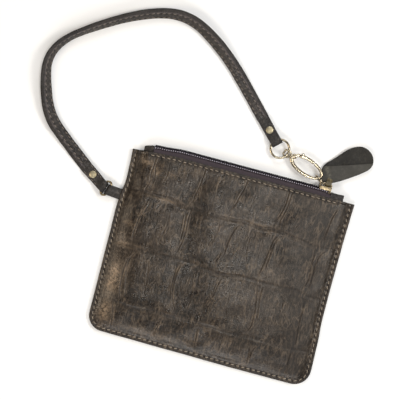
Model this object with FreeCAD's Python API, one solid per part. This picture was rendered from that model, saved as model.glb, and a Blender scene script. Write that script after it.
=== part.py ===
import FreeCAD, Part
import math
import os

# A flat leather wristlet wallet: a stitched pouch with a top zip, and a riveted wrist strap that is
# held at one end by a ring in the side seam and clipped at the other end to the zip slider's ring.
# Millimetres. The origin is the middle of the pouch's flat back, +X runs along the zip towards its
# closed end, +Y runs towards the zip, and +Z runs out of the decorated front.

V = FreeCAD.Vector
UP = V(0, 0, 1)

# ---------------------------------------------------------------- driving dimensions
POUCH_W = 175.0
POUCH_H = 144.6
CORNER_R = 12.0
LEATHER = 1.2
LINING = 0.3
SEAM_T = 2 * (LEATHER + LINING)
PLATEAU_Z = 8.0
RIM_W = 5.0
SLOPE_W = 7.8
LINING_INSET = 1.5
MOUTH_DEPTH = 6.3

STITCH_PITCH = 4.1
STITCH_LEN = 2.9
STITCH_W = 0.5
STITCH_PROUD = 0.3
SEAM_STITCH_INSET = 2.6
TOP_STITCH_INSET = 2.5

ZIP_Z = 4.0
ZIP_LEFT, ZIP_RIGHT = -71.5, 66.9
TAPE_T = 0.5
COIL_Y0, COIL_H = 77.0, 2.0
COIL_GAP, COIL_REACH = 0.5, 2.5
TAB_SKIN = 0.8
TAB_HALF_Z = 3.6
TAB_TONGUE = 6.0

SLIDER_X0, SLIDER_X1 = 57.2, 67.4
SLIDER_PLATE = 0.8
SLIDER_HALF_Z, SLIDER_INNER_HALF_Z = 3.1, 1.8
SLIDER_WEB_HALF, SLIDER_WEB_LEN = 0.3, 4.0
BRIDGE_X0, BRIDGE_X1 = 57.6, 67.1
BRIDGE_LEG = 1.1
BRIDGE_HALF_W = 1.2
WINDOW_Y0, WINDOW_Y1 = 79.95, 81.9
BRIDGE_TOP = 82.8

PULL_RING_WIRE = 0.5
PULL_RING_HELD = V(60.6, 80.8, 0)
PULL_RING_HOOKED = V(52.7, 86.4, 0)
PULL_RING_Z = 5.4

LEAF_Z, LEAF_MID_Z, LEAF_TOP_Z = 0.6, 1.8, 2.8
NECK_X0, NECK_X1 = 61.9, 65.5
NECK_R, NECK_HOLE_R = 2.2, 1.4

O_RING_AT = V(21.2, 98.9, 3.0)
O_RING_R, O_RING_WIRE = 7.1, 0.9
O_RING_TILT = 4.8
CLASP_ANGLE = -19.45
CLASP_Z, CLASP_T = 3.6, 2.4
PIN_S, PIN_T, PIN_R = 12.6, 1.6, 0.6
GATE_REACH = 15.5
GATE_CLEARANCE = 0.25
SWIVEL_TILT = 35.0
SWIVEL_AT, SWIVEL_HALF_L, SWIVEL_HALF_W, SWIVEL_WIRE = 6.6, 2.36, 2.9, 0.7
POST_AT, POST_LEN, POST_R = 8.9, 2.0, 0.8

STRAP_W, STRAP_T = 9.5, 2.0
STRAP_Z = 1.25
LOOP_LOW, LOOP_LAYER = 0.2, 1.1
LOOP_HIGH = LOOP_LOW + 2 * LOOP_LAYER
LOOP_LEN = 20.0
LOOP_HALF_W = 4.25
RIVET_FROM_RING, RIVET_FROM_BAR = 9.2, 12.4
RIVET_HEAD_R, RIVET_HEAD_T, RIVET_ROUND = 2.9, 0.9, 0.7
RIVET_SHANK_R, RIVET_CAP_R = 1.0, 2.1
RIVET_PLAY = 0.05

SIDE_RING_AT = V(-99.5, 35.3, 2.5)
SIDE_RING_ANGLE = 162.0
SIDE_RING_WIRE = 0.8
SIDE_RING_HALF_L, SIDE_RING_HALF_W = 5.7, 2.3
TAB_Y0, TAB_Y1 = 28.6, 37.4
TAB_Z0, TAB_Z1 = 1.3, 3.1
TAB_ROOT_X = -79.5
TAB_HALF_W, TAB_EYE_R, TAB_BORE_R = 4.2, 1.9, 1.05
LEFT_HALF_W, LEFT_EYE_R, LEFT_BORE_R = 4.3, 2.3, 1.25

# The strap's route between its two riveted loops, as the points that its runs turn at.
STRAP_ROUTE = [
    (-118.3, 47.2),
    (-138.5, 62.5),
    (-156.5, 78.0),
    (-166.0, 102.0),
    (-169.5, 121.0),
    (-160.5, 138.0),
    (-141.5, 152.0),
    (-113.0, 169.0),
    (-86.5, 178.5),
    (-67.5, 177.2),
    (-50.5, 168.0),
    (-33.1, 154.8),
    (-18.09, 140.3),
    (2.55, 118.55),
]


# ---------------------------------------------------------------- helpers
def save(name, shape):
    """Writes one named piece and says what it is made of."""
    shape.exportStep("parts/" + name + ".step")
    print(f"{name:22s} solids {len(shape.Solids):4d} volume {shape.Volume:10.2f} valid {shape.isValid()}")


def box(x0, y0, z0, x1, y1, z1):
    return Part.makeBox(x1 - x0, y1 - y0, z1 - z0, V(x0, y0, z0))


def face(points):
    """A flat face from a closed outline of corner points."""
    return Part.Face(Part.makePolygon([*points, points[0]]))


def plan_slab(outline, z0, z1):
    """A slab with an outline in plan."""
    return face([V(x, y, z0) for x, y in outline]).extrude(UP * (z1 - z0))


def along_x(profile, x0, x1):
    """A (Y, Z) profile that runs along X."""
    return face([V(x0, y, z) for y, z in profile]).extrude(V(x1 - x0, 0, 0))


def unit(angle_deg):
    return V(math.cos(math.radians(angle_deg)), math.sin(math.radians(angle_deg)), 0)


def placed(shape, at, angle_deg):
    """A copy of a shape drawn about the origin, turned about Z and moved."""
    moved = shape.copy()
    moved.rotate(V(0, 0, 0), UP, angle_deg)
    moved.translate(at)
    return moved


def fused(shapes):
    whole = shapes[0].multiFuse(shapes[1:]) if len(shapes) > 1 else shapes[0]
    return whole.removeSplitter()


def wire_link(half_l, half_w, corner, wire_r):
    """A closed link of round wire in the XY plane, centred on the origin, as bars and bends."""
    pieces = []
    x_run, y_run = half_l - corner, half_w - corner
    for sx, sy, start in ((1, 1, 0), (-1, 1, 90), (-1, -1, 180), (1, -1, 270)):
        bend = Part.makeTorus(corner, wire_r, V(0, 0, 0), UP, -180, 180, 90)
        pieces.append(placed(bend, V(sx * x_run, sy * y_run, 0), start))
    if x_run > 1e-6:
        for y in (-half_w, half_w):
            pieces.append(Part.makeCylinder(wire_r, 2 * x_run, V(-x_run, y, 0), V(1, 0, 0)))
    if y_run > 1e-6:
        for x in (-half_l, half_l):
            pieces.append(Part.makeCylinder(wire_r, 2 * y_run, V(x, -y_run, 0), V(0, 1, 0)))
    return fused(pieces)


# ---------------------------------------------------------------- pouch shell
HALF_W, HALF_H = POUCH_W / 2, POUCH_H / 2
BEYOND_TOP = HALF_H + 8.0


def pouch_wire(inset, z, top=BEYOND_TOP):
    """The pouch's outline moved in by inset on its sides and bottom, with two round bottom corners."""
    x, low = HALF_W - inset, -HALF_H + inset
    r = max(CORNER_R - inset * 0.4, 6.0)
    bend = r * (1 - math.sqrt(0.5))
    corners = [V(-x, top, z), V(-x, low + r, z), V(-x + r, low, z)]
    corners += [V(x - r, low, z), V(x, low + r, z), V(x, top, z)]
    left_mid, right_mid = V(-x + bend, low + bend, z), V(x - bend, low + bend, z)
    return Part.Wire(
        [
            Part.makeLine(corners[0], corners[1]),
            Part.Arc(corners[1], left_mid, corners[2]).toShape(),
            Part.makeLine(corners[2], corners[3]),
            Part.Arc(corners[3], right_mid, corners[4]).toShape(),
            Part.makeLine(corners[4], corners[5]),
            Part.makeLine(corners[5], corners[0]),
        ]
    )


def pouch_plate(inset, z0, z1, top):
    return Part.Face(pouch_wire(inset, z0, top)).extrude(UP * (z1 - z0))


def pillow(inset, z0, z1):
    """The raised middle of the front: straight slopes from a low wide outline to a high narrow one."""
    low, high = pouch_wire(inset, z0), pouch_wire(inset + SLOPE_W, z1)
    return Part.makeLoft([low, high], True, True)


def below_top(shape, top):
    """Cuts off what lies past a line across the pouch's open top."""
    reach = 2 * HALF_W
    return shape.cut(box(-reach, top, -5, reach, top + 40, 30))


def pouch_shell():
    """Back and front leather with their linings, sewn flat together at the rim."""
    seam_z = LEATHER + 2 * LINING
    back = pouch_plate(0, 0, LEATHER, HALF_H)
    lining_top = HALF_H - MOUTH_DEPTH
    tongue_space = box(-HALF_W - 1, TAB_Y0, LEATHER, TAB_ROOT_X, TAB_Y1, seam_z)
    back_lining = pouch_plate(LINING_INSET, LEATHER, LEATHER + LINING, lining_top).cut(tongue_space)

    hollow = pillow(RIM_W + LEATHER, seam_z, PLATEAU_Z - LEATHER)
    skin = fused([pouch_plate(0, seam_z, SEAM_T, BEYOND_TOP), pillow(RIM_W, SEAM_T, PLATEAU_Z)])
    front = below_top(skin.cut(hollow), HALF_H)

    inner = pillow(RIM_W + LEATHER + LINING, LEATHER + LINING, PLATEAU_Z - LEATHER - LINING)
    flange = pouch_plate(LINING_INSET, LEATHER + LINING, seam_z, BEYOND_TOP)
    front_lining = below_top(fused([flange, hollow]).cut(inner), lining_top).cut(tongue_space)
    return {
        "back_panel": back,
        "back_lining": back_lining,
        "front_panel": front,
        "front_lining": front_lining,
    }


# ---------------------------------------------------------------- stitching
def seam_line(inset):
    """Points and headings a stitch pitch apart, down one side, along the bottom and up the other."""
    x, low, r = HALF_W - inset, -HALF_H + inset, CORNER_R - inset
    side, turn, base = HALF_H - 3.0 - (low + r), math.pi * r / 2, 2 * (x - r)
    total = 2 * side + 2 * turn + base
    count = int(total // STITCH_PITCH)
    stops = []
    for i in range(count):
        d = (i + 0.5) * total / count
        if d < side:
            stops.append((-x, HALF_H - 3.0 - d, 90))
        elif d < side + turn:
            q = (d - side) / r
            stops.append((-x + r - r * math.cos(q), low + r - r * math.sin(q), 90 + math.degrees(q)))
        elif d < side + turn + base:
            stops.append((-x + r + d - side - turn, low, 0))
        elif d < side + 2 * turn + base:
            q = (d - side - turn - base) / r
            stops.append((x - r + r * math.sin(q), low + r - r * math.cos(q), math.degrees(q)))
        else:
            stops.append((x, low + r + d - side - 2 * turn - base, 90))
    return stops


def stitches(stops, z):
    one = box(-STITCH_LEN / 2, -STITCH_W / 2, 0, STITCH_LEN / 2, STITCH_W / 2, STITCH_PROUD)
    return Part.makeCompound([placed(one, V(x, y, z), heading) for x, y, heading in stops])


def threads():
    half = HALF_W - RIM_W - SLOPE_W - STITCH_LEN
    count = int(2 * half // STITCH_PITCH)
    top_y = HALF_H - TOP_STITCH_INSET
    top = [(-half + (i + 0.5) * 2 * half / count, top_y, 0) for i in range(count)]
    return {
        "seam_thread": stitches(seam_line(SEAM_STITCH_INSET), SEAM_T),
        "zip_edge_thread": stitches(top, PLATEAU_Z),
    }


# ---------------------------------------------------------------- zip
def mirrored(profile):
    """A (Y, Z) profile seen in the plane between the two zip halves, in reverse order."""
    return [(y, 2 * ZIP_Z - z) for y, z in reversed(profile)]


def zip_chain():
    """Two tapes that leave the panels, fold upright behind the coils, and face each other at ZIP_Z."""
    hem, bend, upright = HALF_H - MOUTH_DEPTH + 0.1, HALF_H + 0.7, COIL_Y0 - TAPE_T
    high = PLATEAU_Z - LEATHER - 0.05
    edge, near = ZIP_Z + COIL_REACH - 0.05, ZIP_Z + COIL_GAP
    tape = [(hem, high), (bend, high), (COIL_Y0, edge), (COIL_Y0, near), (upright, near)]
    tape += [(upright, edge - TAPE_T), (bend, high - TAPE_T), (hem, high - TAPE_T)]
    coil_top, far, ease = COIL_Y0 + COIL_H, ZIP_Z + COIL_REACH, 0.5
    coil = [(COIL_Y0, near), (COIL_Y0, far), (coil_top - ease, far)]
    coil += [(coil_top, far - ease), (coil_top, near + ease), (coil_top - ease, near)]
    low_hem = LEATHER
    back_tape = [(hem, low_hem), (bend, low_hem), (COIL_Y0, 2 * ZIP_Z - edge)]
    back_tape += [(COIL_Y0, 2 * ZIP_Z - near), (upright, 2 * ZIP_Z - near)]
    back_tape += [(upright, 2 * ZIP_Z - edge + TAPE_T), (bend, low_hem + TAPE_T)]
    back_tape += [(hem, low_hem + TAPE_T)]
    return {
        "zip_tape_front": along_x(tape, ZIP_LEFT, ZIP_RIGHT),
        "zip_tape_back": along_x(back_tape, ZIP_LEFT, ZIP_RIGHT),
        "zip_coil_front": along_x(coil, ZIP_LEFT, ZIP_RIGHT),
        "zip_coil_back": along_x(mirrored(coil), ZIP_LEFT, ZIP_RIGHT),
    }


def end_tab(x_open, x_fold, outline_y):
    """A leather tab folded over one end of the zip, with a tongue held in the pouch's mouth."""
    y0 = HALF_H + 0.1
    lean = TAB_SKIN if x_fold < x_open else -TAB_SKIN
    plan = [(x_open, y0), (x_fold, y0), (x_fold + lean, outline_y), (x_open, outline_y + 0.4)]
    cover = plan_slab(plan, ZIP_Z - TAB_HALF_Z, ZIP_Z + TAB_HALF_Z)
    low, high = sorted((x_open, x_fold))
    inner = (low + TAB_SKIN, high + 1) if x_fold < x_open else (low - 1, high - TAB_SKIN)
    half_room = TAB_HALF_Z - TAB_SKIN
    slot = box(inner[0], y0 - 1, ZIP_Z - half_room, inner[1], 90, ZIP_Z + half_room)
    tongue = box(low, y0 - TAB_TONGUE, 1.9, high, y0, 1.9 + TAB_SKIN)
    return fused([cover.cut(slot), tongue])


def slider():
    """The slider straddles the chain: inner plate, web, outer plate with side flanges, and bridge."""
    x0, x1 = SLIDER_X0, SLIDER_X1
    outer_y = WINDOW_Y0 - SLIDER_PLATE
    inner_y = COIL_Y0 - TAPE_T - 0.1
    flange_y = COIL_Y0 + 0.3

    def across_chain(start, y0, end, y1, half_z):
        return box(start, y0, ZIP_Z - half_z, end, y1, ZIP_Z + half_z)

    pieces = [
        across_chain(x0, outer_y, x1, WINDOW_Y0, SLIDER_HALF_Z),
        across_chain(x0, inner_y - SLIDER_PLATE, x1, inner_y, SLIDER_INNER_HALF_Z),
        across_chain(x1 - SLIDER_WEB_LEN, inner_y, x1, outer_y, SLIDER_WEB_HALF),
    ]
    for side in (-1, 1):
        z_out, z_in = ZIP_Z + side * SLIDER_HALF_Z, ZIP_Z + side * (COIL_REACH + 0.15)
        pieces.append(box(x0, flange_y, min(z_out, z_in), x1, outer_y, max(z_out, z_in)))
    pieces.append(across_chain(BRIDGE_X0, WINDOW_Y1, BRIDGE_X1, BRIDGE_TOP, BRIDGE_HALF_W))
    for leg in (BRIDGE_X0, BRIDGE_X1 - BRIDGE_LEG):
        pieces.append(across_chain(leg, WINDOW_Y0, leg + BRIDGE_LEG, WINDOW_Y1, BRIDGE_HALF_W))
    return fused(pieces)


def pull_ring():
    """A round ring that stands upright through the slider's bridge and the clasp."""
    span = PULL_RING_HELD - PULL_RING_HOOKED
    middle = (PULL_RING_HELD + PULL_RING_HOOKED) * 0.5 + UP * PULL_RING_Z
    normal = V(span.y, -span.x, 0)
    return Part.makeTorus(span.Length / 2, PULL_RING_WIRE, middle, normal)


# ---------------------------------------------------------------- leather pull
# The leaf's outline, and the straight line from the neck's left side to the right end where its upper
# layer stops.
LEAF = [
    (61.0, 86.4),
    (58.9, 91.0),
    (59.4, 95.6),
    (61.6, 99.8),
    (67.0, 106.4),
    (72.0, 111.9),
    (79.0, 116.0),
    (85.0, 116.2),
    (90.4, 112.8),
    (93.0, 107.2),
    (91.6, 101.6),
    (86.4, 96.6),
    (78.6, 91.0),
    (71.2, 85.9),
    (66.2, 84.6),
]
LEAF_CUT = [(50.0, 93.0), (100.0, 109.1)]
NECK_TAIL = [(83.9, 2.9), (83.9, 4.2), (84.8, 4.3), (87.5, 3.7), (91.0, 3.4), (91.0, 2.8), (87.0, 2.8)]


def smooth_slab(points, z0, z1):
    """A slab with a smooth closed outline through a few points."""
    curve = Part.BSplineCurve()
    curve.interpolate([V(x, y, z0) for x, y in points], PeriodicFlag=True)
    return Part.Face(Part.Wire(curve.toShape())).extrude(UP * (z1 - z0))


def leather_pull():
    """A leaf of two layers: a full dark one below and a lighter one on its lower half, on a loop."""
    back = smooth_slab(LEAF, LEAF_Z, LEAF_MID_Z)
    above_cut = plan_slab([*LEAF_CUT, (LEAF_CUT[1][0], 130.0), (LEAF_CUT[0][0], 130.0)], 0, 6)
    front = smooth_slab(LEAF, LEAF_MID_Z, LEAF_TOP_Z).cut(above_cut)
    bar_y, length = (WINDOW_Y1 + BRIDGE_TOP) / 2, NECK_X1 - NECK_X0
    eye = Part.makeCylinder(NECK_R, length, V(NECK_X0, bar_y, ZIP_Z), V(1, 0, 0))
    hole = Part.makeCylinder(NECK_HOLE_R, length + 2, V(NECK_X0 - 1, bar_y, ZIP_Z), V(1, 0, 0))
    loop = fused([eye, along_x(NECK_TAIL, NECK_X0, NECK_X1)]).cut(hole)
    return {"leaf_back": back, "leaf_front": front, "leaf_loop": loop}


# ---------------------------------------------------------------- clasp, drawn along +X from the O-ring
# Plan outlines along the clasp: the gate's link to its pin, the room cut for that link, and the far side
# of each cut, past the clasp's end.
GATE_LINK = [(12.2, 2.4), (14.7, 5.0), (14.7, 2.4), (13.6, 0.9)]
LINK_ROOM = [(11.9, 2.7), (14.4, 5.6), (14.4, 1.2), (13.4, -0.4)]
CLASP_END, PAST = 9.8, 50.0


def clasp_place(shape):
    return placed(shape, V(O_RING_AT.x, O_RING_AT.y, 0), CLASP_ANGLE)


def oval(middle, half_l, half_w, z0, z1):
    edge = Part.Ellipse(V(middle, 0, z0), half_l, half_w).toShape()
    return Part.Face(Part.Wire(edge)).extrude(UP * (z1 - z0))


def clasp():
    """An oval trigger clasp: a fixed frame with a hooked nose, and a sprung gate on its upper side."""
    z0, z1 = CLASP_Z - CLASP_T / 2, CLASP_Z + CLASP_T / 2
    under, over = z0 - 1, z1 + 1
    outer, hole = oval(24.25, 14.65, 7.1, z0, z1), oval(25.0, 12.0, 4.6, under, over)
    body = outer.makeFillet(0.8, outer.Edges).cut(hole)
    body = body.cut(box(0, -20, under, CLASP_END, 20, over))
    knuckle_z0, knuckle_z1, play = CLASP_Z - 0.5, CLASP_Z + 0.5, 0.1

    def disc(radius, low, high):
        return Part.makeCylinder(radius, high - low, V(PIN_S, PIN_T, low))

    above = box(14.6, 0.2, under, PAST, 20, over)
    arm = body.common(above).common(disc(GATE_REACH, under, over))
    nub = Part.makeCylinder(1.3, CLASP_T - 0.8, V(17.4, 6.3, z0 + 0.4))
    link = plan_slab(GATE_LINK, knuckle_z0, CLASP_Z)
    knuckle = disc(1.4, knuckle_z0, CLASP_Z)
    gate = fused([arm, nub, link, knuckle]).cut(disc(PIN_R + 0.05, under, over))

    room = box(14.35, 0.0, under, PAST, 20, over)
    room = room.common(disc(GATE_REACH + GATE_CLEARANCE, under, over))
    slot = disc(1.6, knuckle_z0 - play, knuckle_z1 + play)
    slot_link = plan_slab(LINK_ROOM, knuckle_z0 - play, knuckle_z1 + play)
    bore = Part.makeCylinder(POST_R + 0.06, POST_LEN, V(9.0, 0, CLASP_Z), V(1, 0, 0))
    frame = body.cut(room).cut(slot).cut(slot_link).cut(bore)
    frame = frame.cut(disc(PIN_R, under, over))
    pin = Part.makeCylinder(PIN_R, CLASP_T, V(PIN_S, PIN_T, z0))
    coil = disc(1.15, CLASP_Z + play, knuckle_z1).cut(disc(PIN_R + 0.08, z0, z1))
    return {
        "clasp_frame": clasp_place(frame),
        "clasp_gate": clasp_place(gate),
        "gate_pin": clasp_place(pin),
        "gate_spring": clasp_place(coil),
    }


def swivel():
    """The clasp's swivel: a tilted wire eye on the O-ring, and a post that turns in the clasp's end."""
    eye = wire_link(SWIVEL_HALF_L, SWIVEL_HALF_W, 1.3, SWIVEL_WIRE)
    eye.rotate(V(0, 0, 0), V(1, 0, 0), SWIVEL_TILT)
    eye.translate(V(SWIVEL_AT, 0, CLASP_Z))
    post = Part.makeCylinder(POST_R, POST_LEN, V(POST_AT, 0, CLASP_Z), V(1, 0, 0))
    return clasp_place(fused([eye, post]))


def o_ring():
    ring = Part.makeTorus(O_RING_R, O_RING_WIRE)
    ring.rotate(V(0, 0, 0), V(0, 1, 0), -O_RING_TILT)
    return placed(ring, O_RING_AT, CLASP_ANGLE)


# ---------------------------------------------------------------- strap
STRAP_END = V(*STRAP_ROUTE[-1], 0)
LOOP_DIR = (STRAP_END - V(*STRAP_ROUTE[-2], 0)).normalize()
LOOP_ANGLE = math.degrees(math.atan2(LOOP_DIR.y, LOOP_DIR.x))
LOOP_AT = STRAP_END + LOOP_DIR * LOOP_LEN


def route_wire(points, z):
    """Runs joined by tangent arcs, each arc as large as its two runs allow."""
    nodes = [V(x, y, z) for x, y in points]
    edges, at, radii = [], nodes[0], []
    for before, corner, after in zip(nodes, nodes[1:], nodes[2:]):
        into, out = corner - before, after - corner
        turn = into.getAngle(out)
        back_off = 0.45 * min(into.Length, out.Length)
        radii.append(back_off / math.tan(turn / 2))
        start = corner - into.normalize() * back_off
        end = corner + out.normalize() * back_off
        inward = (start + end) * 0.5 - corner
        depth = radii[-1] / math.cos(turn / 2) - radii[-1]
        middle = corner + inward.normalize() * depth
        edges += [Part.makeLine(at, start), Part.Arc(start, middle, end).toShape()]
        at = end
    edges.append(Part.makeLine(at, nodes[-1]))
    runs = [(b - a).Length for a, b in zip(nodes, nodes[1:])]
    print("strap runs", [round(r, 1) for r in runs])
    print("strap radii", [round(r, 1) for r in radii])
    return Part.Wire(edges)


def wrist_strap():
    """The flat strap between its riveted ends."""
    path = route_wire(STRAP_ROUTE, STRAP_Z)
    start = V(*STRAP_ROUTE[0], STRAP_Z)
    across = V(*STRAP_ROUTE[1], STRAP_Z) - start
    across = V(-across.y, across.x, 0).normalize() * (STRAP_W / 2)
    lift = UP * (STRAP_T / 2)
    section = [start + across + lift, start - across + lift, start - across - lift, start + across - lift]
    band = Part.Wire(Part.makePolygon([*section, section[0]]))
    strap = path.makePipeShell([band], True, True)
    print("strap length", round(path.Length, 1), "volume share", strap.Volume / (path.Length * STRAP_W * STRAP_T))
    return strap


def rivet(at):
    """A domed rivet through both layers of a strap loop, with a thin cap underneath."""
    foot = 0.02
    dome = Part.makeCylinder(RIVET_HEAD_R, RIVET_HEAD_T, V(at.x, at.y, LOOP_HIGH))
    top = LOOP_HIGH + RIVET_HEAD_T
    rim = [e for e in dome.Edges if abs(e.BoundBox.ZMax - top) < 1e-6 and e.Length > RIVET_HEAD_R * 6]
    dome = dome.makeFillet(RIVET_ROUND, rim)
    shank = Part.makeCylinder(RIVET_SHANK_R, LOOP_HIGH - LOOP_LOW, V(at.x, at.y, LOOP_LOW))
    cap = Part.makeCylinder(RIVET_CAP_R, LOOP_LOW - foot, V(at.x, at.y, foot))
    return fused([dome, shank, cap])


def rivet_bore(x, y):
    return Part.makeCylinder(RIVET_SHANK_R + RIVET_PLAY, 6, V(x, y, -1))


# The right loop seen from its side, as (distance past the ring's middle, Z): the leather folded round
# the wire, and the room left inside the fold.
FOLD = [
    (-LOOP_LEN, LOOP_LOW),
    (-3.0, LOOP_LOW),
    (2.9, 0.1),
    (3.9, 1.1),
    (3.9, 3.8),
    (2.9, 4.8),
    (-1.6, 4.8),
    (-4.8, LOOP_HIGH),
    (-LOOP_LEN, LOOP_HIGH),
]
FOLD_ROOM = [(-2.9, 1.3), (2.3, 1.2), (2.8, 1.7), (2.8, 3.2), (2.3, 3.7), (-1.4, 3.7), (-2.9, 2.5)]


def strap_loop_right():
    """The strap's right end, folded round the O-ring and riveted, drawn along +X and then placed."""

    def across(profile, reach):
        return face([V(k, -reach, z) for k, z in profile]).extrude(V(0, 2 * reach, 0))

    loop = across(FOLD, LOOP_HALF_W).cut(across(FOLD_ROOM, LOOP_HALF_W + 1))
    loop = loop.cut(rivet_bore(-RIVET_FROM_RING, 0))
    return {
        "strap_loop_right": placed(loop, LOOP_AT, LOOP_ANGLE),
        "rivet_right": rivet(LOOP_AT - LOOP_DIR * RIVET_FROM_RING),
    }


def side_ring():
    """A flat oblong ring of round wire between the side tab and the strap's left loop."""
    link = wire_link(SIDE_RING_HALF_W, SIDE_RING_HALF_L, SIDE_RING_HALF_W, SIDE_RING_WIRE)
    return placed(link, SIDE_RING_AT, SIDE_RING_ANGLE)


def bar_eye(bar, radius, half):
    """A round eye of leather along one long bar of the side ring."""
    along = unit(SIDE_RING_ANGLE - 90)
    start = V(bar.x, bar.y, SIDE_RING_AT.z) - along * half
    return Part.makeCylinder(radius, 2 * half, start, along)


def side_tab():
    """The tab folded round the ring's near bar, with a thin tongue sewn into the side seam."""
    bar = SIDE_RING_AT - unit(SIDE_RING_ANGLE) * SIDE_RING_HALF_W
    along = unit(SIDE_RING_ANGLE - 90) * TAB_HALF_W
    top, low, play = bar + along, bar - along, 0.1
    plan = [(-HALF_W, TAB_Y1), (top.x, top.y), (low.x, low.y), (-HALF_W, TAB_Y0)]
    strip = plan_slab(plan, TAB_Z0, TAB_Z1)
    tongue = box(-HALF_W, TAB_Y0 + play, LEATHER, TAB_ROOT_X - play, TAB_Y1 - play, LEATHER + 2 * LINING)
    tab = fused([strip, bar_eye(bar, TAB_EYE_R, TAB_HALF_W)])
    return fused([tab.cut(bar_eye(bar, TAB_BORE_R, 2 * TAB_HALF_W + 0.6)), tongue])


def strap_loop_left():
    """The strap's left end, folded round the ring's far bar and riveted."""
    bar = SIDE_RING_AT + unit(SIDE_RING_ANGLE) * SIDE_RING_HALF_W
    along = unit(SIDE_RING_ANGLE - 90) * LEFT_HALF_W
    end, after = V(*STRAP_ROUTE[0], 0), V(*STRAP_ROUTE[1], 0)
    heading = (after - end).normalize()
    across = V(heading.y, -heading.x, 0) * (STRAP_W / 2)
    plan = [bar + along, end + across, end - across, bar - along]
    strip = plan_slab([(p.x, p.y) for p in plan], LOOP_LOW, LOOP_HIGH)
    loop = fused([strip, bar_eye(bar, LEFT_EYE_R, LEFT_HALF_W)])
    loop = loop.cut(bar_eye(bar, LEFT_BORE_R, 2 * LEFT_HALF_W))
    start = V(bar.x, bar.y, 0)
    at = start + (end - start).normalize() * RIVET_FROM_BAR
    return {"strap_loop_left": loop.cut(rivet_bore(at.x, at.y)), "rivet_left": rivet(at)}


# ---------------------------------------------------------------- write every piece
def main():
    os.makedirs("parts", exist_ok=True)
    pieces = {}
    pieces.update(pouch_shell())
    pieces.update(threads())
    pieces.update(zip_chain())
    pieces["zip_tab_left"] = end_tab(-71.9, -79.0, 76.0)
    pieces["zip_tab_right"] = end_tab(67.6, 78.0, 77.6)
    pieces["slider"] = slider()
    pieces["pull_ring"] = pull_ring()
    pieces.update(leather_pull())
    pieces.update(clasp())
    pieces["swivel_eye"] = swivel()
    pieces["o_ring"] = o_ring()
    pieces["wrist_strap"] = wrist_strap()
    pieces.update(strap_loop_right())
    pieces.update(strap_loop_left())
    pieces["side_ring"] = side_ring()
    pieces["side_tab"] = side_tab()
    for name, shape in pieces.items():
        save(name, shape)


main()
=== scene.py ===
import math
import bmesh
import bpy
import numpy as np
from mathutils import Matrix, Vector


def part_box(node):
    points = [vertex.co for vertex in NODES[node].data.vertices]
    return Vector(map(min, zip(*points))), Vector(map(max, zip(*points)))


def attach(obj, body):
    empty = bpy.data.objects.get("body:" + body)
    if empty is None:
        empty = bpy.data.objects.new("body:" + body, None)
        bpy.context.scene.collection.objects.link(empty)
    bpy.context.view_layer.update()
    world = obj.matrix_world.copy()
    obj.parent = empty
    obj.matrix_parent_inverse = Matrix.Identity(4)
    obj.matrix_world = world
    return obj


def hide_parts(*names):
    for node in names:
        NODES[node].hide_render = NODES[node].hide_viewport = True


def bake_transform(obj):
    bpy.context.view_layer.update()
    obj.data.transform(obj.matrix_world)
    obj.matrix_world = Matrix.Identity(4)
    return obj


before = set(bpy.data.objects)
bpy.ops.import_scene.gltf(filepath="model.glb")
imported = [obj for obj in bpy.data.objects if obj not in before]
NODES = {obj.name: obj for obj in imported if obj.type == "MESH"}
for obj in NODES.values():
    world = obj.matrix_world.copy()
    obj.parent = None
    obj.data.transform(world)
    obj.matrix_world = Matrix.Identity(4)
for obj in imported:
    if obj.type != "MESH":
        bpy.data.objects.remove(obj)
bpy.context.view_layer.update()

# Lengths below are millimetres, turned to metres when a mesh is made, unless a comment says metres.
MM = 0.001
SKY = np.array([0, 0, 1.0])
rng = np.random.default_rng(7)


def unit(v):
    return v / np.linalg.norm(v)


def smooth_step(t):
    t = np.clip(t, 0, 1)
    return t * t * (3 - 2 * t)


def placed(name, data):
    """A new object in the scene."""
    obj = bpy.data.objects.new(name, data)
    bpy.context.scene.collection.objects.link(obj)
    return obj


def box_mm(node):
    low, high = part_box(node)
    return np.array(low) / MM, np.array(high) / MM


PANEL_LOW, PANEL_HIGH = box_mm("back_panel")
HALF_W, TOP, LOW = PANEL_HIGH[0], PANEL_HIGH[1], PANEL_LOW[1]
CORNER_R = 12.0
LEATHER, SEAM_T, PLATEAU_Z = 1.2, 3.0, 8.0
ZIP_Z = 4.0
ZIP_LEFT, ZIP_RIGHT = box_mm("zip_coil_front")[0][0], box_mm("zip_coil_front")[1][0]


# ---------------------------------------------------------------- materials
def srgb(r, g, b):
    """A colour given as 0 to 255 screen values, as the shader wants it."""
    channels = [c / 255 / 12.92 if c < 10.3 else ((c / 255 + 0.055) / 1.055) ** 2.4 for c in (r, g, b)]
    return (*channels, 1)


def add(tree, kind, settings=None, **sockets):
    """One node, with its settings and its inputs, which are values or other nodes' outputs."""
    node = tree.nodes.new(kind)
    for key, value in (settings or {}).items():
        setattr(node, key, value)
    for key, value in sockets.items():
        socket = node.inputs[int(key[1:])] if key[1:].isdigit() else node.inputs[key.replace("_", " ")]
        if isinstance(value, bpy.types.NodeSocket):
            tree.links.new(value, socket)
        else:
            socket.default_value = value
    return node


def on_object(tree):
    """The place on the object that is being shaded."""
    return add(tree, "ShaderNodeTexCoord").outputs["Object"]


def noise(tree, scale, detail=3.0, roughness=0.55, stretch=(1, 1, 1), turn=0.0):
    """Noise with features about 1/scale metres across, longer where stretch is under 1."""
    place = add(tree, "ShaderNodeMapping", Vector=on_object(tree), Scale=stretch, Rotation=(0, 0, turn))
    made = add(tree, "ShaderNodeTexNoise", Vector=place.outputs[0], Scale=scale, Detail=detail,
               Roughness=roughness)
    return made.outputs[0]


def cells(tree, scale):
    """How far each place is from the edges of small cells."""
    edges = {"feature": "DISTANCE_TO_EDGE"}
    return add(tree, "ShaderNodeTexVoronoi", edges, Vector=on_object(tree), Scale=scale).outputs["Distance"]


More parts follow.
